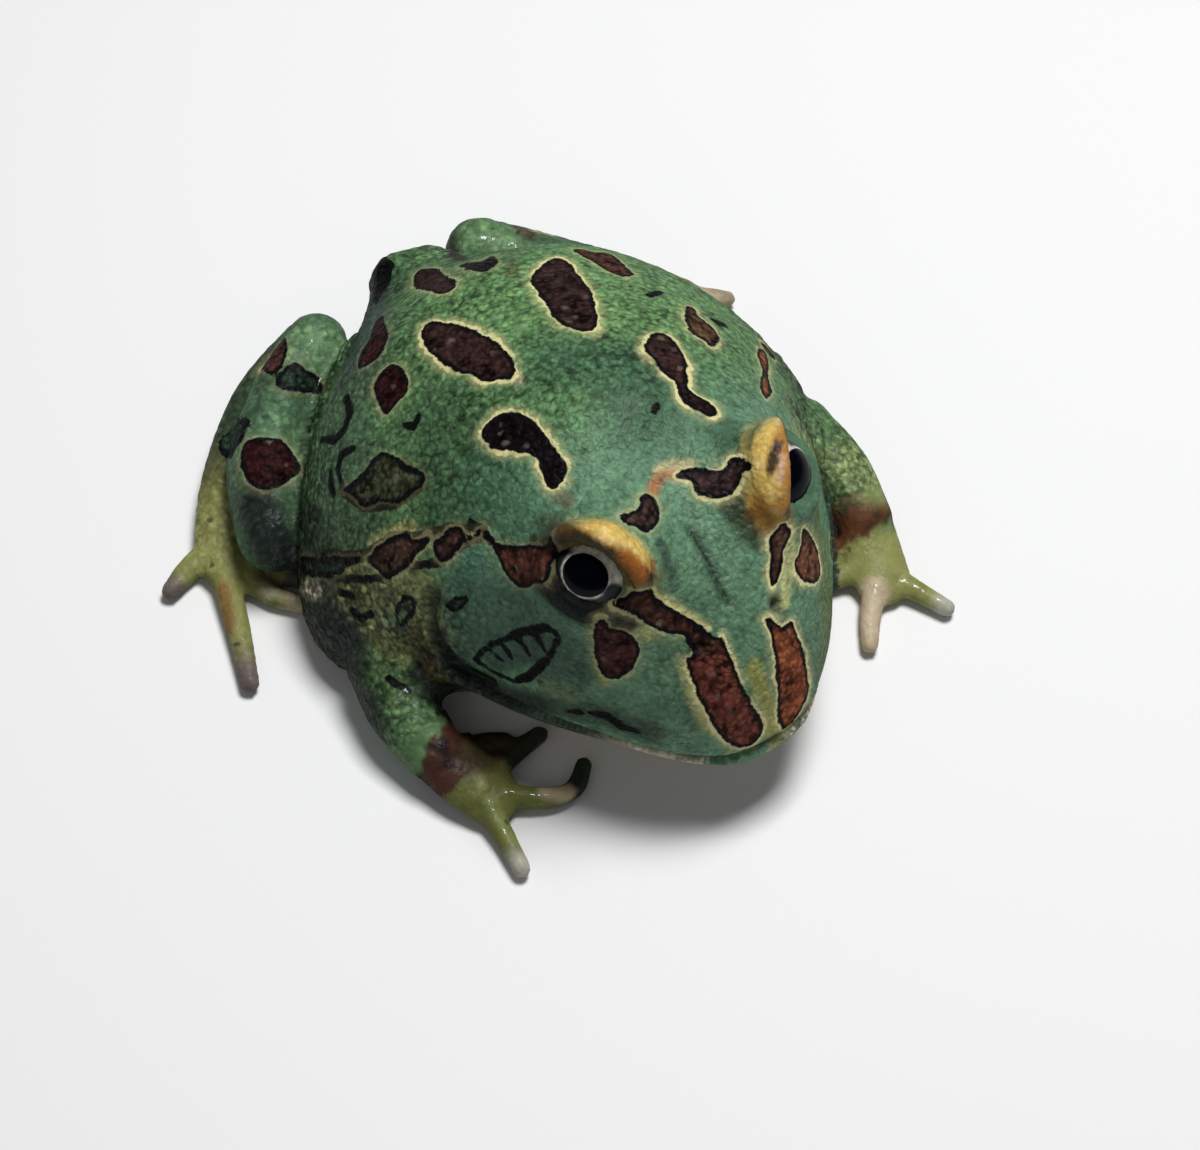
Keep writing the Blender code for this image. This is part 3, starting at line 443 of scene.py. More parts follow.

# Soft patches of colour: (chain of (x, y) in the photograph, half width and fade in mm, colour, strength).
# Some are painted light or painted shade, as their names or the comments over them say.
TINTS = {
    "shoulder_lit": ([(374, 632), (388, 640), (400, 646)], 1.4, 2.8, (0.210, 0.230, 0.090), 0.8),
    "brow_dot_1": ([(661, 545), (666, 554)], 0.6, 0.8, (0.026, 0.042, 0.034), 0.8),
    "brow_dot_2": ([(667, 565), (671, 573)], 0.5, 0.8, (0.026, 0.042, 0.034), 0.7),
    "brow_dot_3": ([(671, 582), (675, 585)], 0.4, 0.7, (0.026, 0.042, 0.034), 0.6),
    "brow_dot_4": ([(725, 506), (732, 516)], 0.5, 0.9, (0.026, 0.044, 0.038), 0.75),
    "brow_dot_5": ([(750, 538), (756, 544)], 0.5, 0.9, (0.026, 0.044, 0.038), 0.65),
    "nose_dot_left": ([(771, 600), (779, 609)], 0.7, 0.8, (0.066, 0.046, 0.030), 0.85),
    "left_ring": ([(824, 492), (828, 512)], 0.4, 1.2, (0.026, 0.048, 0.030), 0.6),
    "knob_left_edge": ([(455, 234), (451, 244), (454, 254),
        (462, 260)], 0.5, 0.7, (0.026, 0.018, 0.015), 0.9),
    "knob_left_top": ([(506, 223), (518, 228), (530, 235)], 0.7, 1.1, (0.064, 0.040, 0.028), 0.85),
    # darker high on the right flank: partly the flank's own darker green, partly painted shade
    "flank_high_dark_and_shade": ([(352, 380), (345, 440), (350, 500)], 4.0, 8.0, (0.045, 0.088, 0.048), 0.7),
    "comma_tip": ([(642, 351), (648, 361)], 0.35, 1.1, (0.78, 0.58, 0.30), 0.9),
    "tip_right": ([(514, 377), (520, 382)], 0.2, 0.9, (0.70, 0.60, 0.36), 0.9),
    "tip_left": ([(590, 334), (598, 338)], 0.2, 0.9, (0.72, 0.60, 0.30), 0.9),
    "hook_end": ([(556, 493), (568, 503)], 0.4, 1.3, (0.110, 0.080, 0.055), 0.7),
    # painted wet glint on the hand
    "hand_glint": ([(475, 770), (482, 784)], 0.2, 1.0, (0.42, 0.42, 0.18), 0.45),
    "hand_brown": ([(470, 748), (480, 760), (490, 764)], 0.7, 1.6, (0.100, 0.075, 0.030), 0.7),
    "finger_green": ([(492, 800), (506, 826), (516, 842)], 0.5, 1.2, (0.190, 0.220, 0.070), 0.7),
    # painted shade: the snout's front darker
    "snout_front_shade": ([(660, 700), (700, 600), (745, 640), (790, 640)], 4.0, 9.0, (0.060, 0.105, 0.062), 0.4),
    "leaf_inside": ([(496, 660), (520, 656), (545, 645)], 1.2, 1.4, (0.030, 0.062, 0.042), 0.8),
    # painted shade: the saddle behind the head darker
    "saddle_shade": ([(560, 352), (620, 366), (650, 404)], 2.0, 9.0, (0.050, 0.115, 0.062), 0.85),
    # painted shade: low on the back's right side darker
    "low_back_shade": ([(440, 420), (462, 470), (450, 505)], 3.0, 8.0, (0.045, 0.095, 0.045), 0.8),
    # painted shade: the nape darker
    "nape_shade": ([(495, 480), (520, 520)], 2.0, 6.0, (0.050, 0.115, 0.070), 0.7),
    "flank_shade": ([(312, 540), (312, 590), (340, 640)], 2.0, 7.0, (0.022, 0.034, 0.022), 0.85),
    "rump_shade": ([(372, 300), (360, 350)], 2.0, 6.0, (0.028, 0.055, 0.045), 0.8),
    "shoulder_olive": ([(350, 588), (380, 588), (420, 592),
        (428, 625)], 2.0, 4.0, (0.170, 0.180, 0.068), 0.8),
    "row_edge": ([(372, 545), (392, 533), (412, 528)], 0.4, 1.2, (0.34, 0.33, 0.12), 0.8),
    # painted shade in the armpit
    "arm_pit_shade": ([(316, 650), (345, 684), (358, 724)], 2.0, 3.4, SHADE, 0.85),
    "jaw_shade": ([(440, 640), (457, 670), (490, 692), (540, 704)], 0.7, 2.0, SHADE, 0.9),
    "fold_brown": ([(418, 640), (430, 662), (438, 676)], 0.8, 2.4, OLIVE_BROWN, 0.8),
    # painted shadow of the left brow on the head behind it
    "shadow_behind_brow_left": ([(727, 430), (737, 452)], 1.0, 4.0, BROW_SHADOW_GREEN, 0.8),
    # painted shadow of the left brow on the head beside it
    "shadow_beside_brow_left": ([(738, 480), (744, 500), (752, 514)], 0.9, 2.4, (0.030, 0.060, 0.030), 0.85),
    "snout_band": ([(754, 668), (762, 690), (769, 712), (774, 738)], 0.7, 1.3, BAND_OLIVE, 0.95),
    "bar_tip": ([(676, 474), (662, 474), (655, 484), (653, 492)], 0.35, 1.0, (0.34, 0.13, 0.040), 0.9),
    "bar_tip_edge": ([(690, 464), (672, 464), (658, 470)], 0.2, 0.9, (0.58, 0.46, 0.24), 0.6),
    "snout_edge_right": ([(688, 668), (697, 700), (712, 728)], 0.4, 1.5, (0.38, 0.37, 0.13), 0.7),
    "cheek_edge": ([(592, 635), (596, 660), (604, 682)], 0.3, 1.2, (0.30, 0.30, 0.11), 0.7),
    "under_bar": ([(612, 618), (634, 630), (650, 636)], 0.3, 1.3, (0.36, 0.36, 0.13), 0.7),
    "over_bar": ([(656, 596), (680, 612), (704, 628)], 0.2, 1.1, (0.55, 0.50, 0.20), 0.8),
    "brow_front": ([(628, 560), (640, 575)], 0.8, 1.6, BROW_ORANGE, 0.9),
    "brow_rear": ([(560, 527), (566, 533)], 0.4, 1.4, (0.10, 0.045, 0.015), 0.85),
    "brow_tail": ([(545, 522), (556, 522)], 0.5, 1.8, (0.040, 0.050, 0.025), 0.7),
    "brow_left_rim": ([(781, 440), (787, 470), (785, 505)], 0.3, 1.3, (0.42, 0.20, 0.045), 0.75),
    "brow_left_front": ([(760, 505), (768, 518), (776, 522)], 0.7, 1.5, (0.34, 0.17, 0.035), 0.85),
    "brow_left_dark": ([(778, 444), (773, 456), (771, 470)], 0.45, 0.5, (0.030, 0.016, 0.016), 0.95),
    "brow_left_pink": ([(783, 458), (779, 480)], 0.2, 0.6, (0.55, 0.36, 0.25), 0.8),
    "blue_cheek": ([(470, 560), (466, 580)], 1.3, 2.4, (0.060, 0.150, 0.105), 0.7),
    "foot_shade": ([(256, 504), (270, 538), (286, 562)], 1.9, 3.4, SHADE, 0.95),
    # painted shade: the right arm darker
    "arm_right_shade": ([(380, 676), (404, 696), (418, 712)], 1.2, 2.4, (0.064, 0.120, 0.048), 0.7),
    "toe_red": ([(223, 588), (228, 628)], 0.3, 1.8, (0.20, 0.075, 0.024), 0.7),
    "foot_web": ([(252, 600), (268, 590)], 0.4, 1.8, CREAM, 0.6),
    "heel_pale": ([(300, 345), (330, 345)], 2.0, 3.0, (0.150, 0.270, 0.130), 0.8),
    "heel_pale_left": ([(478, 232), (498, 240)], 2.0, 3.0, (0.160, 0.290, 0.130), 0.8),
    "shank_light": ([(270, 400), (262, 430)], 1.5, 3.0, (0.090, 0.180, 0.095), 0.7),
    "shoulder_left": ([(800, 420), (826, 470)], 3.0, 5.0, (0.130, 0.210, 0.090), 0.7),
    "thumb_brown": ([(474, 760), (492, 748), (506, 742)], 1.2, 2.2, (0.050, 0.036, 0.016), 0.85),
    "finger_bend": ([(549, 790), (566, 792)], 0.8, 1.4, (0.46, 0.38, 0.24), 0.8),
    # painted shade along the low right cheek
    "cheek_low_shade": ([(470, 690), (540, 704), (600, 716), (650, 732)], 1.0, 2.6, (0.020, 0.032, 0.022), 0.75),
    "cheek_light": ([(548, 684), (568, 694)], 0.6, 2.2, (0.120, 0.150, 0.060), 0.6),
    "cheek_left_olive": ([(818, 520), (826, 580), (828, 640),
        (820, 690)], 2.0, 4.0, (0.120, 0.165, 0.060), 0.85),
    "between_marks_left": ([(793, 530), (790, 560), (786, 600)], 0.5, 1.2, (0.42, 0.44, 0.18), 0.8),
    # painted shadow of the left brow, low beside it
    "shadow_below_brow_left": ([(738, 500), (744, 520), (756, 530)], 1.0, 2.2, (0.040, 0.055, 0.026), 0.8),
    # painted light: the left arm lighter
    "arm_left_lit": ([(846, 430), (856, 462), (872, 480)], 2.0, 3.4, (0.230, 0.300, 0.115), 0.85),
    # painted light: the back behind the head lighter
    "head_back_lit": ([(640, 300), (600, 300), (500, 300)], 4.0, 12.0, (0.150, 0.290, 0.110), 0.5),
    # painted shade: the right cheek darker
    "cheek_shade": ([(475, 610), (520, 620), (560, 650)], 3.0, 6.0, (0.045, 0.090, 0.060), 0.8),
    "lip_pale": ([(786, 730), (800, 718), (812, 704)], 0.3, 1.2, (0.62, 0.55, 0.42), 0.8),
}

# Soft patches that are drawn once more over the finished brows
BROW_TINTS = (
    "brow_front",
    "brow_rear",
    "brow_left_rim",
    "brow_left_front",
    "brow_left_dark",
    "brow_left_pink",
)

# Folds and creases, darkened with painted shade: (chain of (x, y) in the photograph, depth and half width in
# mm, darkness of the painted shade, also on the other side)
CREASES = {
    "snout": ([(690, 531), (698, 542), (706, 556), (713, 572), (720, 588),
        (728, 601)], 0.50, 0.5, 0.95, False),
    "jaw_angle": ([(434, 596), (429, 612), (431, 630), (440, 648), (458, 668),
        (490, 684)], 1.2, 1.1, 0.8, True),
    "neck_fold": ([(404, 638), (418, 662), (434, 686), (452, 700)], 0.8, 1.0, 0.45, True),
    "thigh_fold": ([(318, 392), (308, 430), (304, 470), (300, 510)], 0.5, 0.8, 0.5, True),
    "wrist_1": ([(420, 745), (446, 756), (468, 754)], 0.3, 0.6, 0.3, True),
    "wrist_2": ([(436, 806), (456, 812), (478, 808)], 0.3, 0.6, 0.3, True),
    "under_brow": ([(560, 538), (585, 539), (606, 553), (627, 574)], 0.2, 0.5, 0.4, False),
    "foot_fold": ([(262, 350), (258, 380), (256, 410)], 0.4, 0.7, 0.3, False),
}

# Digits: the colours of their tips, and those that are pale all along; how smooth each limb's skin is
DIGIT_TIPS = {
    "finger_1_right": BARK,
    "finger_2_right": BLACK_TIP,
    "finger_3_right": BLACK_TIP,
    "finger_4_right": GREY_TIP,
    "finger_3_left": CREAM_TIP,
    "finger_4_left": GREY_TIP,
    "toe_3_right": CREAM_TIP,
    "toe_5_left": CREAM_TIP,
    "toe_4_right": SLATE_TIP,
    "toe_5_right": SLATE_TIP,
    "toe_4_left": CREAM_TIP,
}
PALE_DIGITS = ("finger_3_left", "toe_5_left")
SMOOTH_LIMBS = {"finger": 0.85, "toe": 0.85, "hand": 0.85, "shank": 0.6, "foot": 0.6}

# Wrist bands: (piece, place along it from 0 to 1, half width in mm, colour)
BANDS = [
    ("hand_right", 0.30, 3.1, (0.062, 0.025, 0.016)),
    ("forearm_left", 0.97, 2.9, (0.105, 0.042, 0.018)),
]

# Eyes: places on the eye's own axes, in mm; of each pupil the middle, half length and half height
PUPIL_SHAPES = {"right": (-0.3, 0.35, 3.15, 2.75), "left": (1.1, -0.3, 3.6, 3.3)}
EYE_SEGMENTS = 112
CORNEA = (0.25, 3.4)  # height and reach of the dome over the iris
IRIS_SILVER = (0.50, 0.48, 0.40)
IRIS_WHITE = (0.72, 0.69, 0.58)
IRIS_DARK = (0.005, 0.006, 0.007)
IRIS_BLUE = (0.036, 0.044, 0.050)
IRIS_SMUDGE = (0.014, 0.018, 0.024)
PUPIL_BLACK = (0.0008, 0.0012, 0.003)


def ramp(low, high, value):
    """0 at low, 1 at high and smooth between."""
    t = np.clip((value - low) / (high - low), 0, 1)
    return t * t * (3 - 2 * t)


def bell(value, width):
    """1 at 0, falling off on both sides over the width."""
    return np.exp(-((value / width) ** 2))


def smooth_row(rows, t):
    """The row at t, from 0 to the last row's number, on a smooth curve through all the rows."""
    i = min(int(t), len(rows) - 2)
    f = t - i
    before, a, b, after = (rows[max(0, min(len(rows) - 1, i + k))] for k in (-1, 0, 1, 2))
    out = []
    for p, q, r, s in zip(before, a, b, after):
        tq, tr = (r - p) / 2, (s - q) / 2
        bend = (f**3 - 2 * f**2 + f) * tq + (f**3 - f**2) * tr
        out.append((2 * f**3 - 3 * f**2 + 1) * q + (3 * f**2 - 2 * f**3) * r + bend)
    return out


def face_out(bm):
    """Turn the faces of a closed surface outwards."""
    bmesh.ops.recalc_face_normals(bm, faces=bm.faces)
    if bm.calc_volume(signed=True) < 0:
        bmesh.ops.reverse_faces(bm, faces=bm.faces)


def mouth_height(y):
    """Z of the mouth line at y."""
    slope = (MOUTH_CORNER[1] - LIP[1]) / (MOUTH_CORNER[0] - LIP[0])
    return LIP[1] + (y - LIP[0]) * slope


def trunk_half_width(y):
    return np.interp(y, [row[0] for row in TRUNK_STATIONS], [max(row[1], 0.5) for row in TRUNK_STATIONS])


def swell(bm, centre, height, reach):
    """Raise the surface round a point, most at the point, by the height."""
    centre = Vector(centre)
    bm.normal_update()
    moves = [v.normal * height * math.exp(-(((v.co - centre).length / reach) ** 2)) for v in bm.verts]
    for vert, move in zip(bm.verts, moves):
        vert.co += move


def trunk_form():
    """The trunk: a sphere whose rings become the sections at the stations."""
    bm = bmesh.new()
    bmesh.ops.create_uvsphere(bm, u_segments=TRUNK_AROUND, v_segments=TRUNK_RINGS, radius=1)
    last = len(TRUNK_STATIONS) - 1
    for vert in bm.verts:
        along = math.acos(max(-1, min(1, vert.co.z))) / math.pi
        around = math.atan2(vert.co.y, vert.co.x)
        y, half_width, top, widest, bottom, upper, lower = smooth_row(TRUNK_STATIONS, along * last)
        cx, sz = math.cos(around), math.sin(around)
        n = upper if sz >= 0 else lower
        x = math.copysign(abs(cx) ** (2 / n), cx) * half_width
        z = widest + abs(sz) ** (2 / n) * ((top if sz >= 0 else bottom) - widest)
        vert.co = (x, y, z)
    face_out(bm)
    for swelling in SWELLINGS:
        swell(bm, *swelling)
    for side in SIDES.values():
        swell(bm, (side * EYE_CENTRE[0], *EYE_CENTRE[1:]), *SOCKET_SWELL)
    depth, reach, front, rear = BROW_GROOVE
    for vert in bm.verts:
        x, y, z = vert.co
        if z > HEAD_TOP and front < y < rear:
            ends = math.sin(math.pi * (y - front) / (rear - front))
            vert.co.z -= depth * ends * math.exp(-((x / reach) ** 2))
        vert.co.z = max(vert.co.z, 0)
    return bm


def swept(stations, side=1, broad=None):
    """A limb: a sphere drawn out along the smooth curve through the stations, with round ends.

    Its width is level, or lies along the direction broad, where one is given."""
    stations = [(side * row[0], *row[1:]) for row in stations]
    if len(stations[0]) == 4:
        stations = [(*row, row[3]) for row in stations]
    last = len(stations) - 1
    samples = [smooth_row(stations, last * k / SAMPLES) for k in range(SAMPLES + 1)]
    steps = [(Vector(b[:3]) - Vector(a[:3])).length for a, b in zip(samples, samples[1:])]
    reach = np.concatenate([[0], np.cumsum(steps)])
    start, end = samples[0][3], samples[-1][3]
    length = start + reach[-1] + end
    bm = bmesh.new()
    bmesh.ops.create_uvsphere(bm, u_segments=LIMB_AROUND, v_segments=LIMB_RINGS, radius=1)
    for vert in bm.verts:
        at = length * (1 - max(-1, min(1, vert.co.z))) / 2 - start
        beyond = min(at, 0) + max(at - reach[-1], 0)
        k = min(max(int(np.searchsorted(reach, at, "right")) - 1, 0), SAMPLES - 1)
        f = max(0, min(1, (at - reach[k]) / steps[k]))
        here = [a + (b - a) * f for a, b in zip(samples[k], samples[k + 1])]
        ahead = (Vector(samples[k + 1][:3]) - Vector(samples[k][:3])).normalized()
        across = broad - ahead * broad.dot(ahead) if broad else ahead.cross(Vector((0, 0, 1)))
        across.normalize()
        up = across.cross(ahead)
        fullness = math.sqrt(max(0, 1 - (beyond / here[3]) ** 2))
        angle = math.atan2(vert.co.y, vert.co.x)
        place = Vector(here[:3]) + ahead * beyond
        place += across * math.cos(angle) * here[3] * fullness
        place += up * math.sin(angle) * here[4] * fullness
        vert.co = (place.x, place.y, max(place.z, 0))
    face_out(bm)
    return bm


def eye_axes(side):
    """The eye's centre, and its axes to the front corner, up the opening and out."""
    out = Vector(EYE_OUT).normalized()
    front = Vector(EYE_FRONT)
    front = (front - out * front.dot(out)).normalized()
    up = front.cross(out)
    flip = Vector((side, 1, 1))
    return [Vector(EYE_CENTRE) * flip, front * flip, up * flip, out * flip]


def eye_frame(points, side):
    """Each point's place on the eye's own axes, and its distance from the eye's centre."""
    centre, *axes = (np.array(axis) for axis in eye_axes(side))
    away = points - centre
    return *(away @ axis for axis in axes), np.linalg.norm(away, axis=1)


def round_eye(rows):
    """Stations at the places on the left eye's own axes."""
    centre, front, up, out = eye_axes(1)
    return [(*(centre + front * row[0] + up * row[1] + out * row[2]), *row[3:]) for row in rows]


def upper_lid(side):
    """The brow over one eye."""
    up, out = eye_axes(side)[2:]
    droop = math.radians(LID_DROOP)
    return swept(round_eye(UPPER_LID), side, out * math.cos(droop) - up * math.sin(droop))


def limb_paths():
    """Every length of limb and digit, as (name, side, stations)."""
    for name, side in SIDES.items():
        for plans in (FORE, HIND):
            for part, stations in plans[name].items():
                if part == "digits":
                    for number, path in enumerate(stations, 1):
                        yield f"{'finger' if plans is FORE else 'toe'}_{number}_{name}", side, path
                else:
                    yield f"{part}_{name}", side, stations


def joined(forms):
    """One mesh of all the forms."""
    whole = bmesh.new()
    for bm in forms:
        mesh = bpy.data.meshes.new("form")
        bm.to_mesh(mesh)
        bm.free()
        whole.from_mesh(mesh)
        bpy.data.meshes.remove(mesh)
    mesh = bpy.data.meshes.new("skin")
    whole.to_mesh(mesh)
    whole.free()
    return mesh


def linked(name, data):
    """A new object in the scene."""
    obj = bpy.data.objects.new(name, data)
    bpy.context.scene.collection.objects.link(obj)
    return obj


def fused(mesh):
    """The mesh as one even surface, with what lies inside gone."""
    obj = linked("frog_skin", mesh)
    modifier = obj.modifiers.new("fuse", "REMESH")
    modifier.mode = "VOXEL"
    modifier.voxel_size = VOXEL
    graph = bpy.context.evaluated_depsgraph_get()
    obj.data = bpy.data.meshes.new_from_object(obj.evaluated_get(graph))
    obj.modifiers.clear()
    bpy.data.meshes.remove(mesh)
    return obj


def read_points(mesh):
    points = np.empty(len(mesh.vertices) * 3)
    mesh.vertices.foreach_get("co", points)
    return points.reshape(-1, 3)


def read_normals(mesh):
    normals = np.empty(len(mesh.vertices) * 3)
    mesh.vertex_normals.foreach_get("vector", normals)
    return normals.reshape(-1, 3)


def write_points(mesh, points):
    mesh.vertices.foreach_set("co", points.ravel())
    mesh.update()


def neighbours(mesh):
    """The two ends of every edge, both ways round."""
    edges = np.empty(len(mesh.edges) * 2, int)
    mesh.edges.foreach_get("vertices", edges)
    a, b = edges.reshape(-1, 2).T
    return np.concatenate([a, b]), np.concatenate([b, a])


def middles(points, here, there):
    """The middle of each point's neighbours."""
    count = np.bincount(here, minlength=len(points))
    sums = np.stack([np.bincount(here, points[there, k], len(points)) for k in range(3)], 1)
    return sums / count[:, None]


def relaxed(mesh, points, amounts):
    """The points moved towards, or for a negative amount away from, the middle of their neighbours."""
    here, there = neighbours(mesh)
    for amount in amounts:
        points = points + amount * (middles(points, here, there) - points)
    return points


def filled(mesh, points, weight, rounds):
    """The points of hollows raised to the level of what lies round them, by their weight."""
    here, there = neighbours(mesh)
    for _ in range(rounds):
        write_points(mesh, points)
        normals = read_normals(mesh)
        rise = np.maximum(((middles(points, here, there) - points) * normals).sum(1), 0)
        points = points + normals * (rise * weight)[:, None]
    return points


def nearest_on(points, a, b):
    """How far along the line from a to b each point's nearest place is, and its distance from that."""
    t = np.clip((points - a) @ (b - a) / max((b - a) @ (b - a), TINY), 0, 1)
    return t, np.linalg.norm(points - a - t[:, None] * (b - a), axis=1)


def chain_field(points, chain):
    """Distance of each point from the surface of a chain of tapering rods, and how far along it is."""
    best = np.full(len(points), np.inf)
    along = np.zeros(len(points))
    rods = list(zip(chain, chain[1:]))
    for k, (first, second) in enumerate(rods):
        t, gap = nearest_on(points, np.array(first[:3], float), np.array(second[:3], float))
        gap -= first[3] + t * (second[3] - first[3])
        nearer = gap < best
        best[nearer] = gap[nearer]
        along[nearer] = (k + t[nearer]) / len(rods)
    return best, along


def limb_fields(points):
    """Name, side, distance and place along of every length of limb."""
    for name, side, path in limb_paths():
        yield name, side, *chain_field(points, [(side * row[0], *row[1:4]) for row in path])


def brow_field(points, side):
    """Distance from one brow and place along it, from its front end to its rear end."""
    return chain_field(points, [(side * row[0], *row[1:4]) for row in round_eye(UPPER_LID)])


def outline_field(points, outline):
    """Signed distance, in the plane, of each point from the closed outline; negative inside."""
    best = np.full(len(points), np.inf)
    inside = np.zeros(len(points), bool)
    for a, b in zip(outline, np.roll(outline, -1, axis=0)):
        best = np.minimum(best, nearest_on(points, a, b)[1])
        crosses = (a[1] > points[:, 1]) != (b[1] > points[:, 1])
        rise = b[1] - a[1] if abs(b[1] - a[1]) > TINY else TINY
        inside ^= crosses & (points[:, 0] < a[0] + (points[:, 1] - a[1]) / rise * (b[0] - a[0]))
    return np.where(inside, -best, best)


def rounded(outline):
    """The closed outline, drawn as a smooth curve through its points."""
    count = len(outline)
    rows = [tuple(point) for point in outline]
    loop = [rows[k % count] for k in range(-2, count + 3)]
    return np.array([smooth_row(loop, 2 + k / 4) for k in range(4 * count)])


def mark_field(points, normals, corners, normal):
    """Signed distance of each point from the mark whose outline goes through the corners on the skin."""
    corners = np.array(corners)
    middle = corners.mean(0)
    across = np.cross(normal, (0.0, 0.3, 1.0))
    across /= np.linalg.norm(across)
    flat = np.array([across, np.cross(normal, across)])
    reach = np.linalg.norm(corners - middle, axis=1).max() + MARK_MARGIN
    field = np.full(len(points), FAR)
    away = points - middle
    near = np.flatnonzero((away**2).sum(1) < reach**2)
    near = near[(normals[near] @ normal > 0.25) & (np.abs(away[near] @ normal) < MARK_DEPTH)]
    field[near] = outline_field(away[near] @ flat.T, rounded((corners - middle) @ flat.T))
    return field


def rim_field(points, normals, outline, corners):
    """Signed distance, as the camera sees it, from a mark at the edge of the body."""
    middle = np.median(np.array(corners), 0)
    outline = np.array(outline, float)
    right, up, back = (np.array(axis) for axis in camera_axes())
    away = points - np.array(VIEW_TARGET)
    depth = VIEW_DISTANCE - away @ back
    seen = np.stack([away @ right, -(away @ up)], 1) * (FOCAL_PIXELS / depth)[:, None]
    seen += (IMAGE_WIDTH / 2, IMAGE_HEIGHT / 2)
    level = VIEW_DISTANCE - (middle - np.array(VIEW_TARGET)) @ back
    field = np.full(len(points), FAR)
    reach = RIM_DEPTH + 0.5 * np.ptp(outline, axis=0).max() * level / FOCAL_PIXELS
    near = np.flatnonzero((np.abs(depth - level) < reach) & (normals @ back > -0.1))
    field[near] = outline_field(seen[near], rounded(outline)) * level / FOCAL_PIXELS
    return np.minimum(field, FAR)


def camera_axes():
    """The camera's directions to the right, up and back."""
    azimuth, elevation = math.radians(VIEW_AZIMUTH), math.radians(VIEW_ELEVATION)
    right = Vector((math.cos(azimuth), math.sin(azimuth), 0))
    back = Vector((math.sin(azimuth), -math.cos(azimuth), 0)) * math.cos(elevation)
    back.z = math.sin(elevation)
    return right, back.cross(right), back


def on_skin(tree, x, y):
    """The place on the skin that shows at the photograph's pixel, or the one nearest to it."""
    right, up, back = camera_axes()
    eye = Vector(VIEW_TARGET) + back * VIEW_DISTANCE
    ray = right * (x - IMAGE_WIDTH / 2) - up * (y - IMAGE_HEIGHT / 2) - back * FOCAL_PIXELS
    place = tree.ray_cast(eye, ray.normalized())[0]
    return place or tree.find_nearest(eye + ray * (VIEW_DISTANCE / FOCAL_PIXELS))[0]


def placed(tree, chain, half_width=None):
    """A chain on the skin, of the half widths that its points give or of one half width."""
    return [(*on_skin(tree, *row[:2]), row[2] if half_width is None else half_width) for row in chain]


def lid_spread(f, g):
    """1 on the edge of the opening between the lids, less inside it."""
    half_length, above, below = LID_OPENING
    return np.hypot(f / half_length, g / np.where(g > 0, above, below))


def open_lids(points):
    """Sink the skin under each eye inside the opening, and wrap the lids over its edge."""
    for side in SIDES.values():
        centre = np.array(eye_axes(side)[0])
        f, g, a, distance = eye_frame(points, side)
        spread = np.where(a > -1, lid_spread(f, g), FAR)
        lip = EYE_RADIUS + LID_THICKNESS
        near = distance < EYE_RADIUS + LID_REACH
        hug = near & (spread >= 1) & (spread < 1.5) & (distance < lip)
        inside = near & (spread < 1)
        for here, radius in ((hug, lip), (inside, EYE_RADIUS - LID_SINK)):
            points[here] = centre + (points[here] - centre) * (radius / distance[here])[:, None]
    return points


def brow_crease(points):
    """How much each point lies in the crease between a brow and the top of the head."""
    weight = np.zeros(len(points))
    for side in SIDES.values():
        f, g, a, distance = eye_frame(points, side)
        here = ramp(4.0, 5.5, g) * ramp(5.5, 4.0, a) * ramp(12, 9, np.abs(f))
        weight = np.maximum(weight, here * (distance < 13))
    return weight


def shape_skin(obj):
    """Lips, nostrils and lids, as moves of the fused skin."""
    mesh = obj.data
    points = relaxed(mesh, read_points(mesh), SMOOTHING)
    points = filled(mesh, points, HOLLOW_FILL * brow_crease(points), HOLLOW_ROUNDS)
    write_points(mesh, points)
    normals = read_normals(mesh)
    x, y, z = points.T
    on_head = (y < NECK_Y + 2) & (np.abs(x) < trunk_half_width(y) + 1.5) & (z > 3)
    above = z - mouth_height(y)
    fade = ramp(MOUTH_CORNER[0] + 1, MOUTH_CORNER[0] - 2, y) * on_head
    out = LIP_ROLL[0] * bell(above, LIP_ROLL[1])
    out += LOWER_LIP_OUT * ramp(0.0, -0.6, above) * ramp(-2.6, -1.2, above)
    out -= UNDER_LIP_IN * ramp(-1.8, -3.2, above)
    out -= MOUTH_GROOVE[0] * bell(above, MOUTH_GROOVE[1])
    points = points + normals * (out * fade)[:, None]
    rim, pit = NOSTRIL_SHAPE
    for side in SIDES.values():
        gap = np.linalg.norm(points - (side * NOSTRIL[0], *NOSTRIL[1:]), axis=1) / NOSTRIL_RADIUS
        points = points + normals * (rim * bell(gap - 1.7, 0.6) - pit * bell(gap, 1))[:, None]
    points = open_lids(points)
    write_points(mesh, points)
    return points


def paint(mesh, name, values):
    """A number for each point of the mesh."""
    layer = mesh.attributes.new(name, "FLOAT", "POINT")
    layer.data.foreach_set("value", np.asarray(values, np.float32))


def paint_colour(mesh, name, colours):
    """A colour for each point of the mesh."""
    layer = mesh.attributes.new(name, "FLOAT_COLOR", "POINT")
    rgba = np.concatenate([colours, np.ones((len(colours), 1))], 1)
    layer.data.foreach_set("color", rgba.astype(np.float32).ravel())


def plain(colour, points):
    """The same colour for each point."""
    return np.tile(np.array(colour), (len(points), 1))


def blend_in(ground, colour, amount):
    return ground + (np.array(colour) - ground) * np.reshape(amount, (-1, 1))


def tinted(ground, points, tree, names):
    """The colours with the named soft patches over them."""
    for name in names:
        chain, half_width, fade, colour, strength = TINTS[name]
        gap = chain_field(points, placed(tree, chain, half_width))[0]
        ground = blend_in(ground, colour, strength * ramp(fade, 0, gap))
    return ground


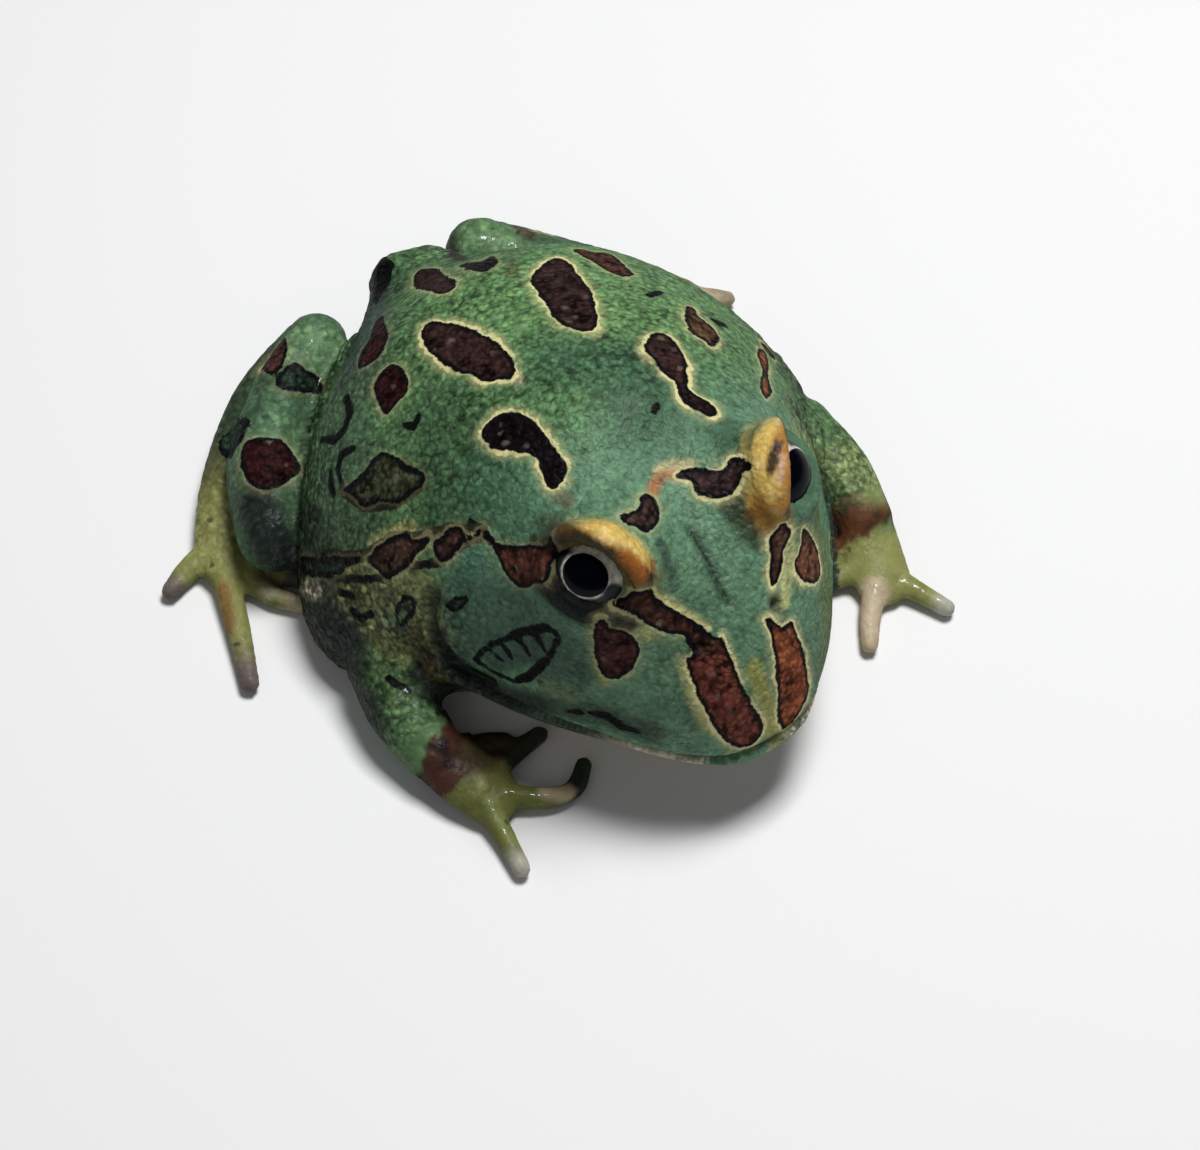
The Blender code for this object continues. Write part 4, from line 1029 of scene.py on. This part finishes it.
def limb_colours(points, ground):
    """Green upper limbs, olive hands and feet, and digits with tips of their own colours."""
    for name, side, gap, along in limb_fields(points):
        here = ramp(1.1, 0.0, gap)
        # The right hand and fingers are a darker olive: partly their own colour, partly painted shade
        olive = SHADED_DARK_OLIVE if side < 0 and name.startswith(("finger", "hand")) else OLIVE
        if name in PALE_DIGITS:
            olive = CREAM_TIP
        if name.startswith(("finger", "toe")):
            tip = DIGIT_TIPS.get(name, SLATE_TIP)
            start = 0.3 if tip is BLACK_TIP else 0.6
            ground = blend_in(ground, olive, here)
            ground = blend_in(ground, tip, here * ramp(start, start + 0.35, along))
        elif name.startswith("hand"):
            ground = blend_in(ground, olive, here * ramp(0.15, 0.45, along))
        elif name.startswith("foot"):
            ground = blend_in(ground, OLIVE, here * ramp(0.35, 0.7, along))
        else:
            ground = blend_in(ground, SHANK_GREEN if "shank" in name else LIMB_GREEN, here)
    return ground


def ground_colours(points, normals, tree):
    """The skin's colour under its markings: along the body, down its sides, then part by part, with painted
    shade low on the sides, below the mouth line and in the mouth's groove.
    """
    x, y, z = points.T
    ground = plain(BACK_GREEN, points)
    ground = blend_in(ground, REAR_GREEN, ramp(22, 40, y))
    ground = blend_in(ground, TEAL, ramp(2, -14, y))
    # Painted shade: darker green low on the sides, partly the skin's own colour, then near-black lowest down
    # behind the head
    ground = blend_in(ground, SIDE_GREEN_AND_SHADE, ramp(32, 12, z) * ramp(-34, -10, y))
    ground = blend_in(ground, SHADE, 0.8 * ramp(14, 5, z) * ramp(-30, -20, y))
    ground = limb_colours(points, ground)
    wide = np.abs(x) / trunk_half_width(y)
    belly = ramp(7, 2, z) * ramp(1.2, 0.7, wide) * ramp(0.3, -0.3, normals[:, 2])
    ground = blend_in(ground, CREAM, belly)
    above = z - mouth_height(y)
    jaw = (y < NECK_Y) & (wide < 1.12)
    throat = ramp(-3.5, -7.0, above) * ramp(0.2, -0.4, normals[:, 2]) * ramp(0.96, 0.78, wide)
    lip = 0.85 * ramp(-0.4, -0.8, above) * ramp(-2.2, -1.6, above) * ramp(-29, -37, y)
    # Below the mouth line the jaw is darker: partly its own colour, partly painted shade
    ground = blend_in(ground, JAW_DARK_AND_SHADE, jaw * ramp(-0.3, -1.0, above))
    ground = blend_in(ground, CREAM, jaw * np.maximum(throat, lip))
    ground = band_colours(points, ground)
    ground = tinted(ground, points, tree, TINTS)
    # Painted shade along the mouth's groove
    ground = blend_in(ground, MOUTH_GROOVE_SHADE, jaw * 0.95 * bell(above, 0.5))
    return tinted(brow_colours(points, normals, ground), points, tree, BROW_TINTS)


def ripples(points, size):
    """A smooth random number for each point, from about -1 to 1, of the size in mm."""
    return np.array([noise.noise(Vector(point) / size) for point in points]) * 1.6


def band_colours(points, ground):
    """The brown bands round the wrists, with ragged edges."""
    for piece, place, half_width, colour in BANDS:
        side, path = next((side, path) for name, side, path in limb_paths() if name == piece)
        last = len(path) - 1
        here, ahead = (np.array(smooth_row(path, last * t)[:3]) for t in (place, place + 0.05))
        here[0], ahead[0] = here[0] * side, ahead[0] * side
        axis = (ahead - here) / np.linalg.norm(ahead - here)
        away = points - here
        near = np.flatnonzero(np.linalg.norm(away, axis=1) < BAND_REACH)
        ragged = 0.9 * ripples(points[near], 3.0) + 0.5 * ripples(points[near], 1.3)
        gap = np.abs(away[near] @ axis) - half_width + ragged
        brown = plain(colour, near)
        brown = blend_in(brown, BAND_DARK, ramp(0.1, 0.9, ripples(points[near] + 20, 2.2)))
        ground[near] += (brown - ground[near]) * ramp(0.35, -0.35, gap)[:, None]
    return ground


def brow_colours(points, normals, ground):
    """The yellow brows with their darker ends and undersides, and the skin round the eyes, with painted
    shade under the eyes and in the right eye's rear corner.
    """
    for side in SIDES.values():
        gap, along = brow_field(points, side)
        f, g, a, near = eye_frame(points, side)
        rough = np.zeros(len(points))
        close = np.flatnonzero(near < BROW_REACH)
        rough[close] = ripples(points[close], 1.1) + 0.6 * ripples(points[close], 2.6)
        colour = plain(BROW_YELLOW, points)
        colour = blend_in(colour, BROW_PALE, ramp(0.2, 1.2, rough) * 0.8)
        colour = blend_in(colour, BROW_ORANGE, 0.9 * ramp(0.34, 0.10, along + 0.06 * rough))
        colour = blend_in(colour, BROW_BROWN, 0.85 * ramp(0.84, 0.97, along + 0.04 * rough))
        if side < 0:
            lift = g * 0.949 - a * 0.316
            colour = blend_in(colour, BROW_ORANGE, 0.7 * ramp(4.6, 3.6, lift + 0.25 * rough))
            colour = blend_in(colour, BROW_UNDER, ramp(3.8, 3.2, lift + 0.12 * rough))
        else:
            colour = blend_in(colour, BROW_ORANGE, 0.75 * ramp(5.8, 7.2, a + 0.2 * rough))
        inner = ramp(5.0, 2.5, a)
        brow = ramp(0.9 + 1.3 * inner, 0.1 - 0.9 * inner, gap + 0.45 * rough * inner)
        brow *= ramp(BROW_REACH, BROW_REACH - 3, near)
        brow *= 1 - 0.75 * ramp(0.30, 0.75, normals[:, 1] + 0.1 * rough)
        ground = ground + (colour - ground) * brow[:, None]
        under = ramp(0.25, -0.25, normals @ np.array(eye_axes(side)[2])) * ramp(1.4, 0.4, gap) * (g > 0)
        ground = blend_in(ground, LID_SKIN, under)
        spread = lid_spread(f, g)
        around = ramp(EYE_RADIUS + 4.6, EYE_RADIUS + 3.4, near)
        # Painted shade under each eye, strong under the right eye and faint under the left; partly the lower
        # lid's own dark skin
        below = ramp(2.9, 2.1, spread) * ramp(0.8, -0.6, g) * around
        ground = blend_in(ground, EYE_SHADE, below * (0.98 if side < 0 else 0.25))
        # Painted shade in the right eye's rear corner
        rear = ramp(1.8, 1.3, spread) * ramp(-2.4, -3.8, f) * around * ramp(3.4, 2.4, g)
        ground = blend_in(ground, EYE_CORNER_SHADE, rear * 0.9 * (side < 0))
        margin = ramp(1.12, 1.03, spread) * ramp(0.4, 1.6, g) * around
        ground = blend_in(ground, PINKISH if side > 0 else OLIVE_BROWN, margin * 0.85)
    return ground


def hidden_corners(tree, point, half_length, half_breadth, turn):
    """An oval of corners on the skin round the place nearest to the point."""
    middle, normal = tree.find_nearest(Vector(point))[:2]
    across = normal.cross(Vector((0, 0, 1))).normalized()
    up = across.cross(normal)
    c, s = math.cos(math.radians(turn)), math.sin(math.radians(turn))
    corners = []
    for k in range(HIDDEN_CORNERS):
        angle = math.tau * k / HIDDEN_CORNERS
        wavy = 1 + 0.14 * noise.noise(Vector((math.cos(angle), math.sin(angle), point[1])) * 1.7)
        u, v = half_length * wavy * math.cos(angle), half_breadth * wavy * math.sin(angle)
        corners.append(middle + across * (u * c - v * s) + up * (u * s + v * c))
    return corners


def paint_marks(mesh, points, normals, tree):
    """Distances from the spots and lines, in mm, and each spot's pale edge and colour inside."""
    spot = np.full(len(points), FAR)
    halo = np.zeros(len(points))
    inside = plain(UMBER, points)
    marks = [
        (name, [on_skin(tree, x, y) for x, y in outline], halo_here, colour)
        for name, (outline, halo_here, colour) in SPOTS.items()
    ]
    marks += [("hidden", hidden_corners(tree, *row), HIDDEN_HALO, HIDDEN_BROWN) for row in HIDDEN_SPOTS]
    for name, corners, halo_here, colour in marks:
        if name in RIM_MARKS:
            gap = rim_field(points, normals, SPOTS[name][0], corners)
        else:
            normal = np.sum([np.array(tree.find_nearest(corner)[1]) for corner in corners], 0)
            gap = mark_field(points, normals, corners, normal / np.linalg.norm(normal))
        gap = np.where(gap < 0, gap / THICK_RIMS.get(name, 1), gap)
        nearer = gap < spot
        spot[nearer] = gap[nearer]
        halo[nearer] = halo_here
        inside[nearer] = colour
    lines = [chain_field(points, placed(tree, chain))[0] for chain in LINES.values()]
    paint(mesh, "spot", spot)
    paint(mesh, "halo", halo)
    paint(mesh, "line", np.minimum(np.min(lines, 0), FAR) - LINE_SPREAD)
    paint_colour(mesh, "inside", inside)


def add_creases(points, normals, tree):
    """Press the folds in, and note how much painted shade each point gets in one."""
    deep = np.zeros(len(points))
    dark = np.zeros(len(points))
    for chain, depth, half_width, darkness, both in CREASES.values():
        places = placed(tree, chain, 0)
        for flip in (1, -1) if both else (1,):
            shape = bell(chain_field(points, [(flip * row[0], *row[1:]) for row in places])[0], half_width)
            deep = np.maximum(deep, depth * shape)
            dark = np.maximum(dark, darkness * shape)
    return points - normals * deep[:, None], dark


def add_granules(points, normals, coarse, smooth):
    """Raise the grain of the skin: fine on the back, coarser on the flanks and arms."""
    noise.seed_set(GRAIN_SEED)
    height = np.empty(len(points))
    for i, point in enumerate(points):
        place = Vector(point)
        place += noise.noise_vector(place / GRAIN_BEND[0]) * GRAIN_BEND[1]
        fine = noise.voronoi(place / FINE_GRAIN)[0][0]
        height[i] = (0.035 + 0.1 * coarse[i]) * max(0, 1 - (fine / 0.6) ** 2)
        if coarse[i] > 0.3:
            large = noise.voronoi(place / LARGE_GRAIN)[0][0]
            height[i] += 0.34 * (coarse[i] - 0.3) * max(0, 1 - (large / 0.5) ** 2)
    height *= (1 - smooth) * ramp(0.2, 1.5, points[:, 2])
    return points + normals * height[:, None]


def coarseness(points):
    """0 where the skin's grain is fine, 1 where it stands up in large bumps."""
    x, y, z = points.T
    flank = ramp(36, 16, z) * ramp(-26, -6, y)
    head = ramp(-8, -20, y) * (np.abs(x) < trunk_half_width(y) + 1)
    coarse = np.maximum(flank, 0.35 * ramp(-14, 2, y)) * (1 - head)
    for name, _, gap, _ in limb_fields(points):
        if name.startswith(("forearm", "upper_arm")):
            coarse *= 1 - 0.5 * ramp(1.4, 0.3, gap)
    for side in SIDES.values():
        coarse = np.maximum(coarse, 0.12 * ramp(1.2, 0.4, brow_field(points, side)[0]))
    return coarse


def wetness(points):
    """1 where the skin glistens: on the arms, the feet and the low flanks."""
    wet = 0.8 * ramp(30, 14, points[:, 2]) * ramp(-12, 0, points[:, 1])
    for _, _, gap, _ in limb_fields(points):
        wet = np.maximum(wet, ramp(1.4, 0.3, gap))
    return wet


def smoothness(points):
    """0 on plain grainy skin, 1 on the brows, hands, feet and shanks."""
    smooth = np.zeros(len(points))
    for name, _, gap, _ in limb_fields(points):
        most = SMOOTH_LIMBS.get(name.split("_")[0], 0)
        smooth = np.maximum(smooth, most * ramp(1.4, 0.3, gap))
    for side in SIDES.values():
        smooth = np.maximum(smooth, 0.55 * ramp(1.6, 0.4, brow_field(points, side)[0]))
        near = eye_frame(points, side)[3]
        smooth = np.maximum(smooth, ramp(EYE_RADIUS + 1.6, EYE_RADIUS + 0.6, near))
    return smooth


def put(node, key, value):
    """Set a node's input to a number or a colour, or link it from a value or a socket."""
    value = getattr(value, "socket", value)
    if isinstance(value, bpy.types.NodeSocket):
        node.id_data.links.new(value, node.inputs[key])
    else:
        node.inputs[key].default_value = (*value, 1) if isinstance(value, tuple) else value


def add_node(tree, kind, inputs, **settings):
    """A node with its settings and its inputs."""
    node = tree.nodes.new(kind)
    for key, value in settings.items():
        setattr(node, key, value)
    for key, value in inputs.items():
        put(node, key, value)
    return node


class Value:
    """A number that changes over a surface. Sums and products of values become math nodes."""

    def __init__(self, socket):
        self.socket = socket

    def math(self, operation, *values):
        inputs = dict(enumerate(values))
        return Value(add_node(self.socket.id_data, "ShaderNodeMath", inputs, operation=operation).outputs[0])

    def __add__(self, other):
        return self.math("ADD", self, other)

    def __sub__(self, other):
        return self.math("SUBTRACT", self, other)

    def __rsub__(self, other):
        return self.math("SUBTRACT", other, self)

    def __mul__(self, other):
        return self.math("MULTIPLY", self, other)

    def __pow__(self, other):
        return self.math("POWER", self, other)

    def least(self, other):
        return self.math("MINIMUM", self, other)

    def most(self, other):
        return self.math("MAXIMUM", self, other)

    def ramp(self, low, high):
        """0 at low, 1 at high and smooth between."""
        ends = (low, high, 0, 1) if low < high else (high, low, 1, 0)
        inputs = dict(enumerate((self, *ends)))
        kind = "ShaderNodeMapRange"
        return Value(add_node(self.socket.id_data, kind, inputs, interpolation_type="SMOOTHSTEP").outputs[0])


def mix_colour(tree, amount, first, second, mode="MIX"):
    inputs = {0: amount, 6: first, 7: second}
    return add_node(tree, "ShaderNodeMix", inputs, data_type="RGBA", blend_type=mode).outputs[2]


def shaded(tree, colour, value):
    """The colour, darker or lighter by the value."""
    grey = add_node(tree, "ShaderNodeCombineColor", {0: value, 1: value, 2: value}).outputs[0]
    return mix_colour(tree, 1.0, colour, grey, "MULTIPLY")


def read_attribute(tree, name):
    return Value(add_node(tree, "ShaderNodeAttribute", {}, attribute_name=name).outputs["Fac"])


def read_colour(tree, name):
    return add_node(tree, "ShaderNodeAttribute", {}, attribute_name=name).outputs["Color"]


def clouds(tree, place, scale, detail=2.0):
    """Soft noise about 0, as large as 1 / scale metres."""
    inputs = {"Vector": place, "Scale": scale, "Detail": detail}
    return Value(add_node(tree, "ShaderNodeTexNoise", inputs).outputs["Fac"]) - 0.5


def cells(tree, place, scale):
    """Distance from the middle of each cell, and a random number for each."""
    node = add_node(tree, "ShaderNodeTexVoronoi", {"Vector": place, "Scale": scale, "Randomness": 1.0})
    chance = add_node(tree, "ShaderNodeSeparateColor", {0: node.outputs["Color"]}).outputs[0]
    return Value(node.outputs["Distance"]), Value(chance)


def face_on(tree):
    """1 where the surface is seen face on, 0 where it is seen edge on."""
    return 1.0 - Value(add_node(tree, "ShaderNodeLayerWeight", {"Blend": 0.5}).outputs["Facing"])


def new_material(name):
    material = bpy.data.materials.new(name)
    material.use_nodes = True
    tree = material.node_tree
    return material, tree, tree.nodes["Principled BSDF"]


def object_place(tree):
    return add_node(tree, "ShaderNodeTexCoord", {}).outputs["Object"]


def bent_place(tree, place):
    """The place, pushed about by noise, so that the cells and clouds in it aren't even."""
    inputs = {"Vector": place, "Scale": 800.0, "Detail": 1.0}
    shift = add_node(tree, "ShaderNodeTexNoise", inputs).outputs["Color"]
    pushed = add_node(tree, "ShaderNodeVectorMath", {0: shift, 3: 0.0011}, operation="SCALE").outputs[0]
    return add_node(tree, "ShaderNodeVectorMath", {0: place, 1: pushed}, operation="ADD").outputs[0]


def skin_material():
    """Wet skin: its ground and its grain with pale granules partly painted as wet glints, then the lines,
    the spots with their edges, painted shade in the creases, and the shine.
    """
    material, tree, shader = new_material("wet_granular_skin")
    place = object_place(tree)
    bent = bent_place(tree, place)
    names = ("coarse", "grainy", "wet", "spot", "halo", "line", "crease")
    coarse, grainy, wet, spot, halo, line, crease = (read_attribute(tree, name) for name in names)
    broad, middling = clouds(tree, place, 85.0), clouds(tree, place, 420.0)
    fine = clouds(tree, bent, 1500.0, 3.0)
    ripple = clouds(tree, bent, 1050.0) * 2.4
    grain, chance = cells(tree, bent, 1080.0)
    bump, bump_chance = cells(tree, bent, 720.0)
    dome = grain.ramp(0.75, 0.10)
    knob = bump.ramp(0.66, 0.12)

    tone = (dome - 0.5) * coarse.ramp(-0.25, 0.45) * 0.65 + ripple * 0.42 + fine * 0.7
    tone = (tone + (chance - 0.5) * 0.28 + (knob - 0.6) * coarse * 0.75) * grainy
    shade = (tone + middling * 0.65 + broad * 0.75 + 0.95).most(0.2)
    colour = shaded(tree, read_colour(tree, "ground"), shade)
    # Pale dots on the coarse skin: partly pale granules, partly painted wet glints
    pale_dots_and_glints = knob * bump_chance.ramp(0.68, 0.74) * coarse * 0.6 * grainy
    colour = mix_colour(tree, pale_dots_and_glints, colour, mix_colour(tree, 1.0, colour, PALE_DOT_AND_GLINT, "MULTIPLY"))
    speck, speck_chance = cells(tree, bent, 300.0)
    fleck = speck.ramp(0.20, 0.10) * speck_chance.ramp(0.78, 0.82) * 0.7
    colour = mix_colour(tree, fleck, colour, FLECK)

    wobble = middling * 0.9 + fine * 0.3 + (dome - 0.5) * -0.15
    line, spot = line + wobble, spot + wobble
    colour = mix_colour(tree, line.ramp(0.15, -0.12), colour, LINE_BLACK)
    ragged = spot + middling * 1.1
    halo = halo * clouds(tree, place, 260.0).ramp(-0.28, 0.02)
    edge = (ragged.ramp(1.9, 0.4) * halo * 0.35).most(ragged.ramp(0.85, 0.40) * halo)
    colour = mix_colour(tree, edge, colour, HALO)
    mottle = (middling * 2.4 + dome * 0.8 + 0.45).most(0.12)
    centre = shaded(tree, read_colour(tree, "inside"), mottle)
    centre = mix_colour(tree, knob * bump_chance.ramp(0.91, 0.94) * 0.5, centre, PEARL)
    colour = mix_colour(tree, spot.ramp(0.22, 0.02), colour, RIM_BLACK)
    colour = mix_colour(tree, spot.ramp(-0.22, -0.78), colour, centre)
    # Painted shade in the creases
    put(shader, "Base Color", mix_colour(tree, crease, colour, CREASE_SHADE))

    shine = face_on(tree) ** 1.5
    dull = shine * spot.least(line).ramp(-0.6, 0.6)
    put(shader, "Specular IOR Level", dull * 0.13 + shine * 0.04)
    put(shader, "Roughness", fine * 0.3 + 0.45)
    put(shader, "Coat Weight", shine * fine.ramp(0.02, 0.16) * wet * 0.6)
    put(shader, "Coat Roughness", 0.1)
    height = dome * 0.7 + ripple * 0.35 + fine * 0.6 + knob * coarse * 1.1
    inputs = {"Height": height * (grainy * 0.7 + 0.3), "Strength": 0.7, "Distance": 0.00026}
    put(shader, "Normal", add_node(tree, "ShaderNodeBump", inputs).outputs["Normal"])
    return material


def eye_material():
    """A wet eye: the iris with its fibres, the black pupil and a clear coat."""
    material, tree, shader = new_material("wet_eye")
    place = object_place(tree)
    fibres = clouds(tree, place, 1300.0, 4.0)
    iris = shaded(tree, read_colour(tree, "iris"), fibres * 1.6 + 1.0)
    pupil = read_attribute(tree, "pupil") + fibres * 0.04
    put(shader, "Base Color", mix_colour(tree, pupil.ramp(0.03, -0.02), iris, PUPIL_BLACK))
    put(shader, "Roughness", 0.3)
    put(shader, "Specular IOR Level", 0.04)
    put(shader, "Coat Weight", face_on(tree) ** 3.0 * 0.45)
    put(shader, "Coat IOR", 1.33)
    put(shader, "Coat Roughness", 0.03)
    return material


def iris_colours(places, side_name):
    """Distance from the pupil's edge, and the iris's colour, at places on the eye's own axes."""
    pupil_f, pupil_g, half_length, half_height = PUPIL_SHAPES[side_name]
    f, g, a = places.T
    wide = np.hypot((f - pupil_f) / half_length, (g - pupil_g) / half_height)
    pupil = np.where(a > 0, wide - 1, 3)
    iris = blend_in(plain(IRIS_DARK, places), IRIS_BLUE, ramp(1.0, 2.4, f))
    above = ramp(1.2, 2.4, g - pupil_g) * ramp(-4.6, -2.6, f)
    iris = blend_in(iris, IRIS_WHITE, np.maximum(above, ramp(2.4, 3.4, f) * ramp(0.6, 1.6, g)))
    ring = ramp(0.15, 0.07, pupil) * ramp(-1.2, -0.2, np.abs(f) * 0.35 - g * 0.2)
    iris = blend_in(iris, IRIS_SILVER, ring)
    smudge = np.hypot((f - pupil_f - 4.2) / 1.3, (g - pupil_g + 0.4) / 1.4)
    return pupil, blend_in(iris, IRIS_SMUDGE, ramp(1.15, 0.7, smudge))


def finished(obj, material):
    """The piece in metres, smooth and with its material."""
    obj.data.transform(Matrix.Scale(MM, 4))
    obj.data.shade_smooth()
    obj.data.materials.append(material)
    return obj


def make_eye(side_name, material):
    """A glossy eyeball with its pupil and iris, and a slight dome over them."""
    centre, front, up, out = eye_axes(SIDES[side_name])
    turn = Matrix((front, up, out)).transposed()
    bm = bmesh.new()
    bmesh.ops.create_uvsphere(bm, u_segments=EYE_SEGMENTS, v_segments=EYE_SEGMENTS // 2, radius=EYE_RADIUS)
    pupil, iris = iris_colours(np.array([vert.co for vert in bm.verts]), side_name)
    rise, reach = CORNEA
    for vert in bm.verts:
        away = math.hypot(vert.co.x, vert.co.y) / reach
        dome = rise * math.exp(-(away**4)) if vert.co.z > 0 else 0
        vert.co = centre + turn @ (vert.co * (1 + dome / EYE_RADIUS))
    face_out(bm)
    mesh = bpy.data.meshes.new("wet_eye_" + side_name)
    bm.to_mesh(mesh)
    bm.free()
    paint(mesh, "pupil", pupil)
    paint_colour(mesh, "iris", iris)
    return finished(linked(mesh.name, mesh), material)


def make_skin():
    """The whole skin: the forms fused, shaped, painted and grained."""
    forms = [trunk_form()]
    for _, side, path in limb_paths():
        forms.append(swept(path, side))
    for side in SIDES.values():
        forms.append(upper_lid(side))
        forms.append(swept(round_eye(LOWER_LID), side))
    obj = fused(joined(forms))
    mesh = obj.data
    points = shape_skin(obj)
    normals = read_normals(mesh)
    tree = BVHTree.FromPolygons([Vector(p) for p in points], [tuple(p.vertices) for p in mesh.polygons])
    paint_marks(mesh, points, normals, tree)
    paint_colour(mesh, "ground", ground_colours(points, normals, tree))
    coarse, smooth = coarseness(points), smoothness(points)
    paint(mesh, "coarse", coarse)
    paint(mesh, "grainy", 1 - smooth)
    paint(mesh, "wet", wetness(points))
    points, crease = add_creases(points, normals, tree)
    paint(mesh, "crease", crease)
    write_points(mesh, add_granules(points, normals, coarse, smooth))
    return finished(obj, skin_material())


def make_camera():
    right, up, back = camera_axes()
    data = bpy.data.cameras.new("camera")
    camera = linked("camera", data)
    turn = Matrix((right, up, back)).transposed().to_4x4()
    turn.translation = (Vector(VIEW_TARGET) + back * VIEW_DISTANCE) * MM
    camera.matrix_world = turn
    data.sensor_width = SENSOR_WIDTH
    data.lens = FOCAL_PIXELS / IMAGE_WIDTH * SENSOR_WIDTH
    data.clip_start, data.clip_end = CLIP
    bpy.context.scene.camera = camera


def area_light(name, direction, distance, size, power):
    """A square lamp that shines on the origin."""
    data = bpy.data.lights.new(name, "AREA")
    data.size = size
    data.energy = power
    light = linked(name, data)
    light.location = Vector(direction).normalized() * distance
    light.rotation_euler = light.location.to_track_quat("Z", "Y").to_euler()
    return light


def make_studio():
    """A plain pale floor, a soft key light, a fill that shows in no highlight, and a dim sky."""
    bm = bmesh.new()
    bmesh.ops.create_grid(bm, x_segments=1, y_segments=1, size=FLOOR_HALF)
    mesh = bpy.data.meshes.new("floor")
    bm.to_mesh(mesh)
    bm.free()
    floor = linked("floor", mesh)
    material, _, shader = new_material("pale_floor")
    put(shader, "Base Color", FLOOR_COLOUR)
    put(shader, "Roughness", FLOOR_ROUGHNESS)
    mesh.materials.append(material)
    area_light("key", *KEY_LIGHT)
    area_light("fill", *FILL_LIGHT).visible_glossy = False
    world = bpy.data.worlds.new("studio")
    world.use_nodes = True
    put(world.node_tree.nodes["Background"], 0, WORLD_COLOUR)
    put(world.node_tree.nodes["Background"], 1, WORLD_LIGHT)
    world.cycles_visibility.glossy = False
    bpy.context.scene.world = world
    bpy.context.scene.view_settings.view_transform = "Standard"


skin = make_skin()
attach(skin, "root")
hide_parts(*[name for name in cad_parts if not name.startswith("eye_")])
wet_eye = eye_material()
for side_name in SIDES:
    eye = make_eye(side_name, wet_eye)
    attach(eye, "root")
    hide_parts("eye_" + side_name)
make_camera()
make_studio()
